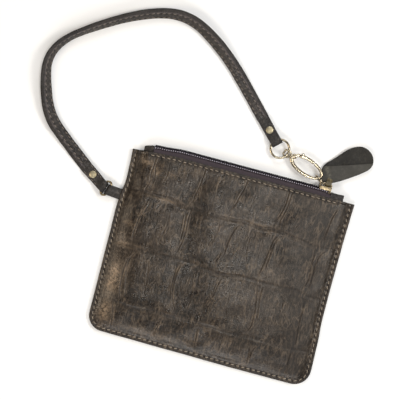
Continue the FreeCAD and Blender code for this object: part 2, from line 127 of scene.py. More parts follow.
def veins(tree, scale, stretch, turn):
    """Thin wandering lines: 1 on a line and 0 away from it."""
    centred = maths(tree, "SUBTRACT", noise(tree, scale, 2, 0.5, stretch, turn), 0.5)
    return ranged(tree, maths(tree, "ABSOLUTE", centred, 0.0), 0, 0.03, 1, 0)


def wave(tree, scale, direction, distortion=0.0):
    made = add(tree, "ShaderNodeTexWave", {"bands_direction": direction}, Vector=on_object(tree), Scale=scale,
               Distortion=distortion)
    return made.outputs["Fac"]


def mask(tree, name):
    """A value painted on the mesh's points, such as how near a cut edge each one is."""
    return add(tree, "ShaderNodeAttribute", {"attribute_name": name}).outputs["Fac"]


def ranged(tree, value, from_low, from_high, to_low, to_high):
    made = add(tree, "ShaderNodeMapRange", Value=value, From_Min=from_low, From_Max=from_high, To_Min=to_low,
               To_Max=to_high)
    return made.outputs[0]


def maths(tree, operation, a, b):
    return add(tree, "ShaderNodeMath", {"operation": operation}, _0=a, _1=b).outputs[0]


def blended(tree, share, a, b):
    """Colour a where share is 0, and colour b where it is 1."""
    made = add(tree, "ShaderNodeMix", {"data_type": "RGBA"}, _0=share, _6=a, _7=b)
    return made.outputs[2]


def bumped(tree, height, depth_mm, under=None):
    """A bump of a depth in millimetres, over another bump."""
    sockets = {"Height": height, "Distance": depth_mm * MM, "Strength": 1.0}
    if under is not None:
        sockets["Normal"] = under
    return add(tree, "ShaderNodeBump", **sockets).outputs[0]


def new_look(name, slot, **constants):
    material = bpy.data.materials.new(name)
    material.use_nodes = True
    shader = material.node_tree.nodes["Principled BSDF"]
    for key, value in constants.items():
        shader.inputs[key.replace("_", " ")].default_value = value
    return {"material": material, "slot": slot, "tree": material.node_tree, "shader": shader}


def wire(look, **links):
    for key, value in links.items():
        look["tree"].links.new(value, look["shader"].inputs[key.replace("_", " ")])
    return look


def leather_look(name, slot, tones, grain=1.0, grain_depth=0.05, rough=(0.3, 0.5), streaks=0.0, **constants):
    """Leather with pores, fine wrinkles, uneven dye, dark worked edges and painted shade, and pale rub-wear
    mixed with painted sheen; streaked leather also gets painted highlights and shade along its wrinkles.
    """
    dark, mid, light, rubbed_and_sheen = (srgb(*tone) for tone in tones)
    look = new_look(name, slot, **constants)
    tree = look["tree"]
    clouds = noise(tree, 38, 4, 0.6)
    mottle = noise(tree, 420, 3, 0.6)
    pores = cells(tree, 1100 / grain)
    colour = blended(tree, ranged(tree, clouds, 0.4, 0.6, 0, 1), dark, mid)
    colour = blended(tree, ranged(tree, mottle, 0.5, 0.78, 0, 0.7), colour, light)
    colour = blended(tree, ranged(tree, pores, 0.0, 0.09, 0.45, 0), colour, dark)
    crackled = ranged(tree, noise(tree, 560, 3, 0.65), 0.38, 0.6, 0.15, 1.25)
    # Pale tone where the points' mask says: rub-wear and painted sheen, broken up by the crackle.
    colour = blended(tree, maths(tree, "MULTIPLY", mask(tree, "rubbed_and_sheen"), crackled), colour, rubbed_and_sheen)
    # Dark tone where the points' mask says: dark cut edges and painted shade.
    colour = blended(tree, mask(tree, "dark"), colour, srgb(20, 15, 13))
    fine = noise(tree, 1500 / grain, 2, 0.5)
    bump = bumped(tree, ranged(tree, pores, 0.0, 0.16, 0, 1), grain_depth)
    bump = bumped(tree, fine, grain_depth * 1.3, bump)
    bump = bumped(tree, mottle, grain_depth * 2.6, bump)
    if streaks:
        for across, turn in ((620, 0.12), (860, -0.35)):
            wrinkles = noise(tree, across, 3, 0.62, (1.0, 0.22, 1.0), turn)
            bump = bumped(tree, wrinkles, streaks, bump)
            # Painted highlight on the wrinkles' ridges, and painted shade in their troughs.
            colour = blended(tree, ranged(tree, wrinkles, 0.56, 0.72, 0, 0.35), colour, light)
            colour = blended(tree, ranged(tree, wrinkles, 0.30, 0.44, 0.4, 0), colour, dark)
        patches = ranged(tree, noise(tree, 95, 2), 0.42, 0.6, 0.1, 1)
        for across, turn in ((150, 0.25), (210, -0.5)):
            lines = maths(tree, "MULTIPLY", veins(tree, across, (1.0, 0.3, 1.0), turn), patches)
            bump = bumped(tree, lines, streaks * 0.2, bump)
            # The thin pale lines are painted highlights, like light caught on fine scratches.
            colour = blended(tree, ranged(tree, lines, 0, 1, 0, 0.6), colour, light)
    roughness = ranged(tree, noise(tree, 160, 4, 0.65), 0.32, 0.7, rough[0], rough[1])
    roughness = maths(tree, "ADD", roughness, maths(tree, "MULTIPLY", mask(tree, "dark"), 0.3))
    return wire(look, Base_Color=colour, Roughness=roughness, Normal=bump)


def metal_look(name, deep, pale, rough):
    """Plated metal with a cloudy lacquer and fine scratches."""
    look = new_look(name, "hardware", Metallic=1.0)
    tree = look["tree"]
    clouds = noise(tree, 240, 4, 0.6)
    colour = blended(tree, ranged(tree, clouds, 0.35, 0.7, 0, 1), srgb(*deep), srgb(*pale))
    scratches = noise(tree, 2600, 2, 0.5, (0.12, 1.0, 1.0), 0.5)
    roughness = ranged(tree, scratches, 0.3, 0.75, *rough)
    bump = bumped(tree, scratches, 0.0012)
    return wire(look, Base_Color=colour, Roughness=roughness, Normal=bump)


def steel_look():
    look = new_look("spring_steel", "spring_steel", Metallic=1.0)
    tree = look["tree"]
    turned = wave(tree, 1800, "X", 1.0)
    colour = blended(tree, turned, srgb(120, 120, 124), srgb(176, 176, 180))
    return wire(look, Base_Color=colour, Roughness=ranged(tree, turned, 0, 1, 0.25, 0.4))


def woven_look(name, slot, dark, light, threads, depth, **constants):
    """A plain weave: two crossed sets of threads, with uneven dye."""
    look = new_look(name, slot, **constants)
    tree = look["tree"]
    warp, weft = wave(tree, threads, "X", 0.6), wave(tree, threads, "Y", 0.6)
    cloth = maths(tree, "MULTIPLY", warp, weft)
    uneven = noise(tree, 700, 3, 0.6)
    share = ranged(tree, maths(tree, "ADD", cloth, uneven), 0.25, 1.3, 0, 1)
    bump = bumped(tree, cloth, depth, bumped(tree, uneven, depth))
    return wire(look, Base_Color=blended(tree, share, srgb(*dark), srgb(*light)),
                Roughness=ranged(tree, uneven, 0.3, 0.7, 0.6, 0.85), Normal=bump)


def thread_look(name, dark, light):
    look = new_look(name, "thread", Sheen_Weight=0.1)
    tree = look["tree"]
    twist = wave(tree, 900, "DIAGONAL", 1.5)
    share = ranged(tree, maths(tree, "ADD", twist, noise(tree, 300)), 0.3, 1.5, 0, 1)
    bump = bumped(tree, twist, 0.05)
    return wire(look, Base_Color=blended(tree, share, srgb(*dark), srgb(*light)),
                Roughness=ranged(tree, twist, 0, 1, 0.5, 0.75), Normal=bump)


def nylon_look():
    look = new_look("nylon_coil", "zip_coil", Specular_IOR_Level=0.25)
    tree = look["tree"]
    uneven = noise(tree, 900, 3, 0.6)
    colour = blended(tree, ranged(tree, uneven, 0.3, 0.7, 0, 1), srgb(14, 11, 16), srgb(30, 23, 34))
    return wire(look, Base_Color=colour, Roughness=ranged(tree, uneven, 0.3, 0.7, 0.28, 0.45),
                Normal=bumped(tree, uneven, 0.02))


LOOKS = {
    "croc": leather_look("croc_leather", "croc_leather",
                         ((18, 14, 11), (37, 30, 24), (96, 83, 69), (160, 137, 112)),
                         grain=1.5, grain_depth=0.03, rough=(0.24, 0.38), streaks=0.13,
                         Specular_IOR_Level=0.42, Specular_Tint=(1.0, 0.95, 0.89, 1)),
    "strap": leather_look("strap_leather", "strap_leather",
                          ((24, 20, 17), (48, 42, 37), (100, 91, 84), (112, 102, 104)),
                          grain=2.0, grain_depth=0.16, rough=(0.3, 0.5), Specular_IOR_Level=0.45),
    "leaf_dark": leather_look("leaf_dark", "leaf_dark_leather",
                              ((20, 18, 14), (31, 28, 22), (54, 50, 41), (96, 90, 74)),
                              grain=1.6, grain_depth=0.07, rough=(0.5, 0.7), Specular_IOR_Level=0.35),
    "leaf_grey": leather_look("leaf_grey", "leaf_grey_leather",
                              ((50, 48, 43), (60, 58, 52), (76, 73, 66), (124, 120, 106)),
                              grain=1.0, grain_depth=0.02, rough=(0.45, 0.62), Specular_IOR_Level=0.35),
    "olive": leather_look("leaf_neck", "leaf_dark_leather",
                          ((76, 66, 42), (104, 93, 62), (146, 134, 100), (190, 176, 140)),
                          grain=1.0, grain_depth=0.03, rough=(0.3, 0.5)),
    "metal": metal_look("antique_gold", (160, 147, 124), (204, 193, 170), (0.2, 0.28)),
    "rivet": metal_look("dull_gold", (150, 139, 112), (196, 186, 158), (0.42, 0.56)),
    "bronze": metal_look("antique_bronze", (112, 98, 74), (158, 143, 114), (0.28, 0.4)),
    "steel": steel_look(),
    "lining": woven_look("lining_cloth", "lining", (26, 22, 22), (52, 46, 46), 900, 0.05, Sheen_Weight=0.2),
    "tape": woven_look("zip_tape", "zip_tape", (44, 37, 41), (76, 66, 72), 700, 0.09, Specular_IOR_Level=0.3),
    "coil": nylon_look(),
    "thread": thread_look("seam_thread", (92, 82, 71), (168, 153, 134)),
    "strap_thread": thread_look("dark_thread", (70, 62, 55), (138, 126, 114)),
    # The coil stitches' pale thread colour paints a highlight on each coil turn.
    "coil_stitch_highlights": thread_look("coil_stitch_highlights", (170, 160, 176), (226, 218, 232)),
}


# ---------------------------------------------------------------- mesh making
class Build:
    """Collects the points and faces of one piece."""

    def __init__(self):
        self.points, self.faces = [], []

    def add(self, points, faces):
        base = len(self.points)
        self.points += [tuple(float(c) for c in p) for p in points]
        self.faces += [tuple(base + i for i in face) for face in faces]

    def loft(self, rings, joined=False, caps=True):
        """Skins closed rings of equal length, in a row or joined in a loop."""
        count, size = len(rings), len(rings[0])
        faces = []
        for i in range(count if joined else count - 1):
            a, b = i * size, (i + 1) % count * size
            faces += [(a + j, a + (j + 1) % size, b + (j + 1) % size, b + j) for j in range(size)]
        if caps and not joined:
            faces += [tuple(reversed(range(size))), tuple(range((count - 1) * size, count * size))]
        self.add(np.concatenate(rings), faces)

    def sweep(self, centre, across, up, section, joined=False):
        """A section of (across, up) points carried along a line. Section may be one or one for each point."""
        rings = []
        for i, (c, a, u) in enumerate(zip(centre, across, up)):
            ring = section(i) if callable(section) else section
            rings.append([np.array(c) + np.array(a) * s + np.array(u) * t for s, t in ring])
        self.loft(rings, joined)

    def turned(self, profile, at, axis, steps=32):
        """A shape turned about an axis, from (distance along the axis, radius) points."""
        axis = unit(np.array(axis, float))
        side = unit(np.cross(axis, [0, 0, 1] if abs(axis[2]) < 0.9 else [1, 0, 0]))
        other = np.cross(axis, side)
        angles = np.linspace(0, 2 * math.pi, steps, endpoint=False)
        rings = []
        for along, radius in profile:
            middle = np.array(at, float) + axis * along
            rings.append([middle + radius * (side * math.cos(q) + other * math.sin(q)) for q in angles])
        self.loft(rings)


def piece(name, build, look, body, *nodes, sharp=38.0, masks=None):
    """Makes a mesh from a build, gives it its look and its body, and stands it in for the nodes named."""
    mesh = bpy.data.meshes.new(name)
    mesh.from_pydata((np.array(build.points) * MM).tolist(), [], build.faces)
    work = bmesh.new()
    work.from_mesh(mesh)
    bmesh.ops.recalc_face_normals(work, faces=work.faces)
    work.to_mesh(mesh)
    work.free()
    mesh.polygons.foreach_set("use_smooth", np.ones(len(mesh.polygons), bool))
    mesh.set_sharp_from_angle(angle=math.radians(sharp))
    for key, values in (masks or {}).items():
        mesh.attributes.new(key, "FLOAT", "POINT").data.foreach_set("value", values.astype(np.float32))
    obj = placed(name, mesh)
    mesh.materials.append(LOOKS[look]["material"])
    if body:
        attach(obj, body)
    if nodes:
        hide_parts(*nodes)
    return obj


def eased(at, knots):
    """A smooth line through (place, value) knots, level at each knot."""
    places, values = np.array(knots, float).T
    i = np.clip(np.searchsorted(places, at) - 1, 0, len(places) - 2)
    share = smooth_step((at - places[i]) / (places[i + 1] - places[i]))
    return values[i] + (values[i + 1] - values[i]) * share


def smooth_line(points, step, closed=False):
    """A Catmull-Rom line through a few points, sampled about every step."""
    p = np.array(points, float)
    if closed:
        p = np.vstack([p[-1], p, p[0], p[1]])
    else:
        p = np.vstack([2 * p[0] - p[1], p, 2 * p[-1] - p[-2]])
    out = []
    for a, b, c, d in zip(p, p[1:], p[2:], p[3:]):
        n = max(2, int(np.linalg.norm(c - b) / step))
        t = np.linspace(0, 1, n, endpoint=False)[:, None]
        square, cube = 2 * a - 5 * b + 4 * c - d, 3 * b - a - 3 * c + d
        out.append(0.5 * (2 * b + (c - a) * t + square * t**2 + cube * t**3))
    if not closed:
        out.append(p[-2][None])
    return np.concatenate(out)


def headings(points, closed=False):
    """The unit direction of a line at each of its points."""
    p = np.asarray(points, float)
    if closed:
        d = np.roll(p, -1, 0) - np.roll(p, 1, 0)
    else:
        d = np.gradient(p, axis=0)
    return d / np.linalg.norm(d, axis=1)[:, None]


def travelled(points):
    """The distance along a line up to each of its points."""
    return np.concatenate([[0], np.cumsum(np.linalg.norm(np.diff(points, axis=0), axis=1))])


def round_section(radius, count=12):
    turn = np.linspace(0, 2 * math.pi, count, endpoint=False)
    return [(radius * math.cos(q), radius * math.sin(q)) for q in turn]


def strip_section(half_w, half_t, ease=0.3):
    """A flat strip's section with rounded edges."""
    ease = min(ease, half_t * 0.9)
    corner = [(math.cos(q) * ease, math.sin(q) * ease) for q in np.radians([0, 30, 60, 90])]
    right = [(half_w - ease + x, half_t - ease + y) for x, y in corner]
    over = right + [(0, half_t)] + [(-x, y) for x, y in reversed(right)]
    under = [(x, -y) for x, y in reversed(over)]
    return over + under


def tube_along(build, points, radius, closed=False, count=12):
    """A round wire along a line in space."""
    d = headings(points, closed)
    side = np.cross(d, [0, 0, 1.0])
    bad = np.linalg.norm(side, axis=1) < 0.05
    side[bad] = np.cross(d[bad], [0, 1.0, 0.0])
    side /= np.linalg.norm(side, axis=1)[:, None]
    build.sweep(points, side, np.cross(side, d), round_section(radius, count), closed)


def ring_points(centre, axis_a, axis_b, steps=72):
    q = np.linspace(0, 2 * math.pi, steps, endpoint=False)[:, None]
    return np.array(centre) + np.cos(q) * np.array(axis_a) + np.sin(q) * np.array(axis_b)


def stitch(build, at, along, up, length, radius, rise):
    """One short arched thread that comes out of one hole and goes into the next."""
    side = np.cross(up, along)
    turn = np.radians(range(0, 360, 60))
    rings = []
    for t in np.linspace(-1, 1, 7):
        centre = at + along * (length / 2 * t) + up * (rise * (1 - t * t) - radius * 0.5)
        r = radius * (0.55 + 0.45 * (1 - t**4))
        rings.append([centre + side * (r * math.cos(q)) + up * (r * math.sin(q)) for q in turn])
    build.loft(rings)


# ---------------------------------------------------------------- camera
AIM = Vector((-0.0277, 0.0452, 0.0))  # metres
CAMERA_HEIGHT = 0.853  # metres
CAMERA_TURN = math.radians(15)


def camera():
    made = placed("camera", bpy.data.cameras.new("camera"))
    made.data.lens, made.data.sensor_width = 100, 36
    made.location = AIM + Vector((0, 0, CAMERA_HEIGHT))
    made.rotation_euler = (0, 0, CAMERA_TURN)
    bpy.context.scene.camera = made


camera()

# ---------------------------------------------------------------- wrist strap
# The route of the strap's middle between its two riveted loops, in metres. It lies flat at both ends
# and leans on its inner edge round the top, where its middle is higher.
STRAP_ROUTE = [
    (-0.1183, 0.0472, 0.00125),
    (-0.1385, 0.0625, 0.0016),
    (-0.1563, 0.0780, 0.0030),
    (-0.1651, 0.1017, 0.0043),
    (-0.1684, 0.1207, 0.0048),
    (-0.1598, 0.1371, 0.00495),
    (-0.1411, 0.1512, 0.0049),
    (-0.1128, 0.1683, 0.0047),
    (-0.0865, 0.1779, 0.0044),
    (-0.0677, 0.1767, 0.0040),
    (-0.0505, 0.1677, 0.0032),
    (-0.0331, 0.1547, 0.0022),
    (-0.01809, 0.1403, 0.0014),
    (0.00255, 0.11855, 0.00125),
]
STRAP_HALF_T = 1.0
STRAP_LOWEST = 0.25
STRAP_LEAN_RADIUS = 4.6
STRAP_STEP = 0.75
# The strap's section, from its inner edge to its outer one: a stitched face, then a bare rounded shoulder.
STRAP_SECTION = [
    (-4.75, 0.1), (-4.62, 0.62), (-4.25, 0.93), (-3.9, 0.97), (-3.62, 0.86), (-3.4, 0.8), (-3.18, 0.86),
    (-2.8, 0.98), (-1.3, 1.0), (0.2, 0.97), (0.5, 0.86), (0.72, 0.8), (0.94, 0.85), (1.3, 0.95), (1.9, 0.94),
    (2.6, 0.8), (3.3, 0.5), (3.95, 0.08), (4.45, -0.35), (4.7, -0.7), (4.55, -0.95), (4.2, -1.0), (1.5, -1.0),
    (-1.5, -1.0), (-4.3, -1.0), (-4.65, -0.8), (-4.75, -0.4),
]
STRAP_ROWS = (-3.4, 0.72)
STRAP_PITCH = 4.2
STRAP_BARE_END = 3.0


def strap_line():
    """The strap's middle line, as points read off its smooth route."""
    curve = bpy.data.curves.new("strap_route", "CURVE")
    curve.dimensions = "3D"
    spline = curve.splines.new("NURBS")
    spline.points.add(len(STRAP_ROUTE) - 1)
    for point, place in zip(spline.points, STRAP_ROUTE):
        point.co = (*place, 1)
    spline.order_u = 3
    spline.use_endpoint_u = True
    curve.resolution_u = 24
    guide = placed("strap_route", curve)
    drawn = bpy.data.meshes.new_from_object(guide.evaluated_get(bpy.context.evaluated_depsgraph_get()))
    line = np.array([v.co for v in drawn.vertices]) / MM
    bpy.data.objects.remove(guide)
    bpy.data.meshes.remove(drawn)
    gone = travelled(line)
    even = np.linspace(0, gone[-1], int(gone[-1] / STRAP_STEP) + 1)
    return np.column_stack([np.interp(even, gone, line[:, k]) for k in range(3)]), even


def strap_frames(line):
    """The strap's directions ahead, across and out of its face, leaning as its height says."""
    leans = np.radians(np.arange(0, 76))
    heights = STRAP_LOWEST + STRAP_LEAN_RADIUS * np.sin(leans) + STRAP_HALF_T * np.cos(leans)
    lean = np.interp(line[:, 2], heights, leans)
    ahead = headings(line * [1, 1, 0])
    outward = np.column_stack([-ahead[:, 1], ahead[:, 0], np.zeros(len(ahead))])
    across = outward * np.cos(lean)[:, None] + SKY * np.sin(lean)[:, None]
    face = SKY * np.cos(lean)[:, None] - outward * np.sin(lean)[:, None]
    return ahead, across, face


def give_with_strap(obj):
    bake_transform(obj)


def strap():
    line, even = strap_line()
    ahead, across, face = strap_frames(line)
    band = Build()

    def section(i):
        wobble = 1 + 0.012 * math.sin(even[i] * 0.19) + 0.008 * math.sin(even[i] * 0.47 + 1)
        return [(a * wobble, b) for a, b in STRAP_SECTION]

    band.sweep(line, across, face, section)
    count = int((even[-1] - 2 * STRAP_BARE_END) / STRAP_PITCH)
    stops = STRAP_BARE_END + (np.arange(count) + 0.5) * STRAP_PITCH
    to_hole = np.abs((even - stops[0]) % STRAP_PITCH - STRAP_PITCH / 2)
    dark, rubbed_and_sheen = [], []
    for hole in np.exp(-((to_hole / 0.75) ** 2)):
        for a, b in STRAP_SECTION:
            edge = 0.7 * max(0.0, abs(a) - 3.9) / 0.85
            row = max(math.exp(-(((a - row) / 0.5) ** 2)) for row in STRAP_ROWS) * (b > 0)
            shoulder = 0.5 if a > 2.2 else 0.0
            dark.append(min(1.0, edge + (0.15 + 0.9 * hole) * row + shoulder))
            rubbed_and_sheen.append(0.5 * math.exp(-(((a - 1.6) / 0.5) ** 2)) * (b > 0))
    body = piece("wrist_strap_band", band, "strap", None, "wrist_strap",
                 masks={"dark": np.array(dark), "rubbed_and_sheen": np.array(rubbed_and_sheen)})

    thread = Build()
    for row in STRAP_ROWS:
        for stop in stops:
            i = int(round(stop / even[-1] * (len(even) - 1)))
            at = line[i] + across[i] * row + face[i] * 0.86
            stitch(thread, at, unit(ahead[i] + across[i] * 0.16), face[i], 2.4, 0.3, 0.16)
    sewn = piece("wrist_strap_thread", thread, "strap_thread", None)
    for obj in (body, sewn):
        give_with_strap(obj)
    return line, ahead


STRAP_LINE, STRAP_AHEAD = strap()


# ---------------------------------------------------------------- pouch: plan, creases, shells
LEFT_LINE = [(-72, 0.4), (-45, 0.1), (0, -0.4), (24, -0.8), (33, -0.3), (46, 1.2), (60, 0.8), (73, 0.1)]
RIGHT_LINE = [(-72, 0.2), (-58, 0.7), (-40, 0.2), (-18, -1.1), (5, -1.2), (40, -0.9), (60, -0.4), (73, 0)]
FOOT_LINE = [(-88, 1.2), (-60, 0.8), (-20, 0.3), (30, -0.3), (88, -0.3)]
HEAD_LINE = [(-88, -2.3), (-78, -1.8), (-66, -0.7), (-52, 0), (88, 0)]


def settled(x, y):
    """Where a point of the flat pattern lies: the pouch's four sides have soft, uneven lines."""
    x, y = np.asarray(x, float), np.asarray(y, float)
    side = eased(y, LEFT_LINE) * np.clip(-x / HALF_W, 0, 1) ** 2
    side = side + eased(y, RIGHT_LINE) * np.clip(x / HALF_W, 0, 1) ** 2
    rise = np.clip((y - LOW) / (TOP - LOW), 0, 1)
    return x + side, y + eased(x, FOOT_LINE) * (1 - rise) ** 3 + eased(x, HEAD_LINE) * rise**6


def inset_of(x, y):
    """How far inside the pattern's sides and bottom a point is."""
    dx, dy = HALF_W - np.abs(x), y - LOW
    cornered = CORNER_R - np.hypot(CORNER_R - dx, CORNER_R - dy)
    return np.where((dx < CORNER_R) & (dy < CORNER_R), cornered, np.minimum(dx, dy))


def spaced(low, high, fine, coarse, margin):
    """Places from low to high, fine within margin of both ends and coarse between."""
    ends = np.arange(0, margin, fine)
    middle = np.linspace(low + margin, high - margin, int((high - low - 2 * margin) / coarse))
    return np.concatenate([low + ends, middle, (high - ends)[::-1]])


def plan_grid(inset, top, fine, coarse):
    """Rows of pattern points that narrow round the two bottom corners."""
    radius, low, half = CORNER_R - inset, LOW + inset, HALF_W - inset
    turn = np.linspace(0, math.pi / 2, 30)
    corner_y = low + radius * (1 - np.cos(turn))
    corner_half = half - radius + radius * np.sin(turn)
    margin = 6.0
    straight_y = np.concatenate([
        np.linspace(low + radius + coarse, top - margin, int((top - margin - low - radius) / coarse)),
        np.arange(top - margin + fine, top, fine), [top]])
    ys = np.concatenate([corner_y, straight_y])
    halves = np.concatenate([corner_half, np.full(len(straight_y), half)])
    s = spaced(-1, 1, fine / half, coarse / half, margin / half)
    return halves[:, None] * s[None, :], np.repeat(ys[:, None], len(s), 1)


# Creases of the embossed scales. Each is a row of plan points; the wide ones part the rows of scales.
ROWS = [
    [(-87, 39.5), (-75, 40.8), (-62, 40.2), (-48, 39.6), (-38, 37.2), (-28, 37.5), (-14, 36.6), (0, 37),
     (12, 37.8), (22, 36.6), (34, 38), (48, 36), (60, 34.6), (72, 33.6), (87, 35)],
    [(-87, -2.6), (-70, -2.2), (-55, -4), (-40, -3.2), (-30, -2.8), (-15, -3.6), (0, -5.5), (12, -3.6),
     (24, -3), (36, -3.4), (50, -3), (62, -2.4), (74, -5), (87, -4)],
    [(-87, -45.5), (-72, -46.8), (-55, -47.5), (-38, -46.2), (-25, -46.8), (-10, -46.4), (4, -46),
     (20, -46.8), (40, -46), (60, -46.6), (74, -46), (87, -45)],
]
UPRIGHTS = [
    [(-68.5, 70), (-68.8, 62), (-69.6, 56), (-69, 49), (-70.2, 44), (-71.5, 42)],
    [(-68, 63), (-66.5, 57), (-66, 51), (-67, 45)],
    [(-29.8, 71), (-30.3, 62), (-31, 55), (-32.3, 49), (-33, 43), (-34.5, 41)],
    [(3.8, 71), (2.6, 63), (1, 57), (-0.6, 50), (-2.2, 45.5), (-4.4, 42)],
    [(36, 71), (36.2, 62), (35.2, 54), (33.6, 48), (30.8, 43.5)],
    [(38.5, 69), (38, 58), (36.4, 50), (34.6, 43)],
    [(76.5, 67), (74, 60), (72.8, 54), (72.2, 46), (71.6, 37.5)],
    [(-65.5, 36.5), (-66.5, 31), (-68, 24), (-69, 16), (-69.8, 8), (-69.6, 0)],
    [(-32.6, 36), (-32.5, 28), (-32, 18), (-32.8, 10), (-34.6, 2.5)],
    [(-36, 34), (-34.8, 28), (-34.2, 20), (-34.4, 12)],
    [(6, 34.5), (3.6, 30.5), (2, 24), (0.9, 16), (0.4, 8)],
    [(-1.8, 11), (-2.8, 6.5), (-5, 2.5)],
    [(36, 34), (34.2, 30), (33.2, 22), (31.8, 12), (30.6, 4), (29.6, 0.5)],
    [(38, 34), (35.6, 26), (34.6, 16), (33.6, 6)],
    [(66, 32), (67.6, 27), (67.8, 18), (68.6, 9), (67.4, 4), (65, -0.5)],
    [(75.5, 32), (72, 27), (70.6, 18), (70.8, 8), (70.4, 0)],
    [(-64.5, -6), (-67.5, -12), (-68, -20), (-66.5, -28), (-65, -35), (-63.5, -41)],
    [(-69, -10), (-70, -22), (-69.5, -34), (-67, -44)],
    [(-28.8, -5), (-30, -11), (-30.4, -20), (-29.6, -29), (-27.6, -36), (-24.5, -41)],
    [(-31.5, -8), (-32, -20), (-31.4, -32)],
    [(3.4, -8), (2, -14), (1, -21), (-1.2, -27), (-3, -33), (-4.5, -40)],
    [(31, -6), (32.6, -13), (33.8, -21), (34.6, -29), (34.6, -37), (32, -43)],
    [(35.5, -6.5), (35.4, -14), (36.6, -24), (37, -32)],
    [(69.6, -8), (70.2, -16), (69.8, -26), (70.4, -36), (70.6, -44)],
    [(-72.5, -48), (-70, -54), (-69.2, -61), (-69.6, -69)],
    [(-33.2, -49), (-33.6, -55), (-35, -61), (-34.8, -66)],
    [(-4, -48), (-3.6, -54), (-3, -61), (-2, -69)],
    [(37.2, -49), (38.2, -56), (38.8, -62), (38.6, -69)],
    [(43, -50), (40.5, -55), (40.2, -62)],
    [(69, -48), (68.8, -56), (69.6, -63), (69.2, -69)],
]
WRINKLES = [
    [(-47.5, 30), (-47, 22), (-48, 14), (-49.6, 4)],
    [(-54, -8), (-52.4, -16), (-51, -26), (-50.2, -38)],
    [(-13, 67), (-16.5, 62), (-17.6, 56)],
    [(-11, 36), (-8.4, 29), (-9.6, 20), (-12.4, 11)],
    [(-20, -12), (-20.6, -22)],
    [(-15, -30), (-16, -38)],
    [(12.6, 63), (11.6, 56), (10.6, 48.5)],
    [(16.6, 28), (16.2, 20), (17.8, 9)],
    [(26, 30), (26.6, 18), (25.8, 8)],
    [(13, -16), (12.4, -26), (14, -36)],
    [(60.6, 58), (58.6, 50), (55, 42)],
    [(50, 48), (47.6, 42)],
    [(44, 28), (44.6, 18), (42, 10)],
    [(53, -14), (55, -20), (62, -28)],
    [(54, -50), (53, -60)],
    [(78, -50), (76, -58), (73.5, -66)],
    [(-15, -48), (-17, -57), (-16, -64)],
    [(16, -52), (15, -62)],
    [(-78, 53), (-74, 54), (-71, 51)],
    [(-58, 66), (-57, 58), (-59, 50)],
]


def crease(x, y, line, width, depth, reach=14.0):
    """One crease: its height, how deep in it and how high on its lips each point is, and the distance."""
    points = smooth_line(line, 1.5)
    lo, hi = points.min(0) - reach, points.max(0) + reach
    near = (x > lo[0]) & (x < hi[0]) & (y > lo[1]) & (y < hi[1])
    spot = np.column_stack([x[near], y[near]])
    best, along = np.full(len(spot), 99.0), np.zeros(len(spot))
    for i, (a, b) in enumerate(zip(points, points[1:])):
        run = b - a
        t = np.clip(((spot - a) @ run) / (run @ run), 0, 1)
        d = np.hypot(*(spot - a - t[:, None] * run).T)
        closer = d < best
        best[closer], along[closer] = d[closer], (i + t[closer]) / (len(points) - 1)
    fade = np.clip(np.minimum(along, 1 - along) * 6, 0, 1) ** 0.7
    dip = np.exp(-((best / width) ** 2)) * fade
    lip = np.exp(-(((best - 1.9 * width) / (0.9 * width)) ** 2)) * fade
    height, low, lip_wear_and_sheen, distance = (np.zeros(x.shape) for _ in range(4))
    distance += 99
    height[near] = depth * (0.45 * lip - dip)
    low[near], lip_wear_and_sheen[near], distance[near] = dip, lip, best
    return height, low, lip_wear_and_sheen, distance


def scales(x, y):
    """The embossed scales: their height, and how deep in a crease or high on a crease's lip each point is;
    the lip share is part wear and part painted highlight.
    """
    height, low, lip_wear_and_sheen = (np.zeros(x.shape) for _ in range(3))
    distance = np.full(x.shape, 99.0)
    patch = 0.5 + 0.5 * np.sin(x * 0.13 + 1.1) * np.sin(x * 0.057 + y * 0.03 + 2)
    sets = ((ROWS, 1.0, 0.2), (UPRIGHTS, 0.42, 0.3), (WRINKLES, 0.4, 0.12))
    for lines, width, depth in sets:
        for line in lines:
            h, dip, lip, d = crease(x, y, line, width, depth)
            broken = 0.3 + 0.7 * patch if lines is ROWS else 1.0
            height += h * broken
            low = np.maximum(low, dip * broken * depth / 0.3)
            lip_wear_and_sheen = np.maximum(lip_wear_and_sheen, lip * broken * (0.3 if lines is ROWS else depth / 0.3))
            if lines is not WRINKLES:
                distance = np.minimum(distance, d)
    height += 0.3 * (1 - np.exp(-((distance / 6.0) ** 2)))
    patchy = 0.5 + 0.5 * np.sin(x * 0.31 + y * 0.12) * np.sin(y * 0.27 - x * 0.09 + 1)
    return height, low, lip_wear_and_sheen * patchy


def undulation(x, y, seed, size):
    """A soft unevenness made of a few crossed waves."""
    draw = np.random.default_rng(seed)
    total = np.zeros(x.shape)
    for length in (64, 47, 33, 24, 17):
        q, phase = draw.uniform(0, math.pi), draw.uniform(0, 2 * math.pi)
        along = x * math.cos(q) + y * math.sin(q)
        total += size * length / 64 * np.sin(2 * math.pi * along / length + phase)
    return total


def shell(name, plan, top, bottom, look, node, masks=None):
    """A closed shell between two heights over a grid of pattern points."""
    x, y = settled(*plan)
    rows, cols = x.shape
    points = np.concatenate([np.column_stack([x.ravel(), y.ravel(), z.ravel()]) for z in (top, bottom)])
    index = np.arange(rows * cols).reshape(rows, cols)
    quads = np.stack([index[:-1, :-1], index[:-1, 1:], index[1:, 1:], index[1:, :-1]], -1).reshape(-1, 4)
    under = quads[:, ::-1] + rows * cols
    rim = np.concatenate([index[0], index[1:, -1], index[-1, -2::-1], index[-2:0:-1, 0]])
    after = np.roll(rim, -1)
    walls = np.stack([rim, rim + rows * cols, after + rows * cols, after], -1)
    build = Build()
    build.points = points.tolist()
    build.faces = np.concatenate([quads, under, walls]).tolist()
    values = {}
    for key, (on_top, on_bottom) in (masks or {}).items():
        values[key] = np.clip(np.concatenate([on_top.ravel(), on_bottom.ravel()]), 0, 1)
    return piece(name, build, look, "root", node, masks=values)


SEAM_INSET, SEAM_PITCH = 2.6, 4.1
SEAM_BARE_END, ZIP_ROW_BARE_END = 3.0, 14.0
ZIP_ROW_Y = TOP - 2.5


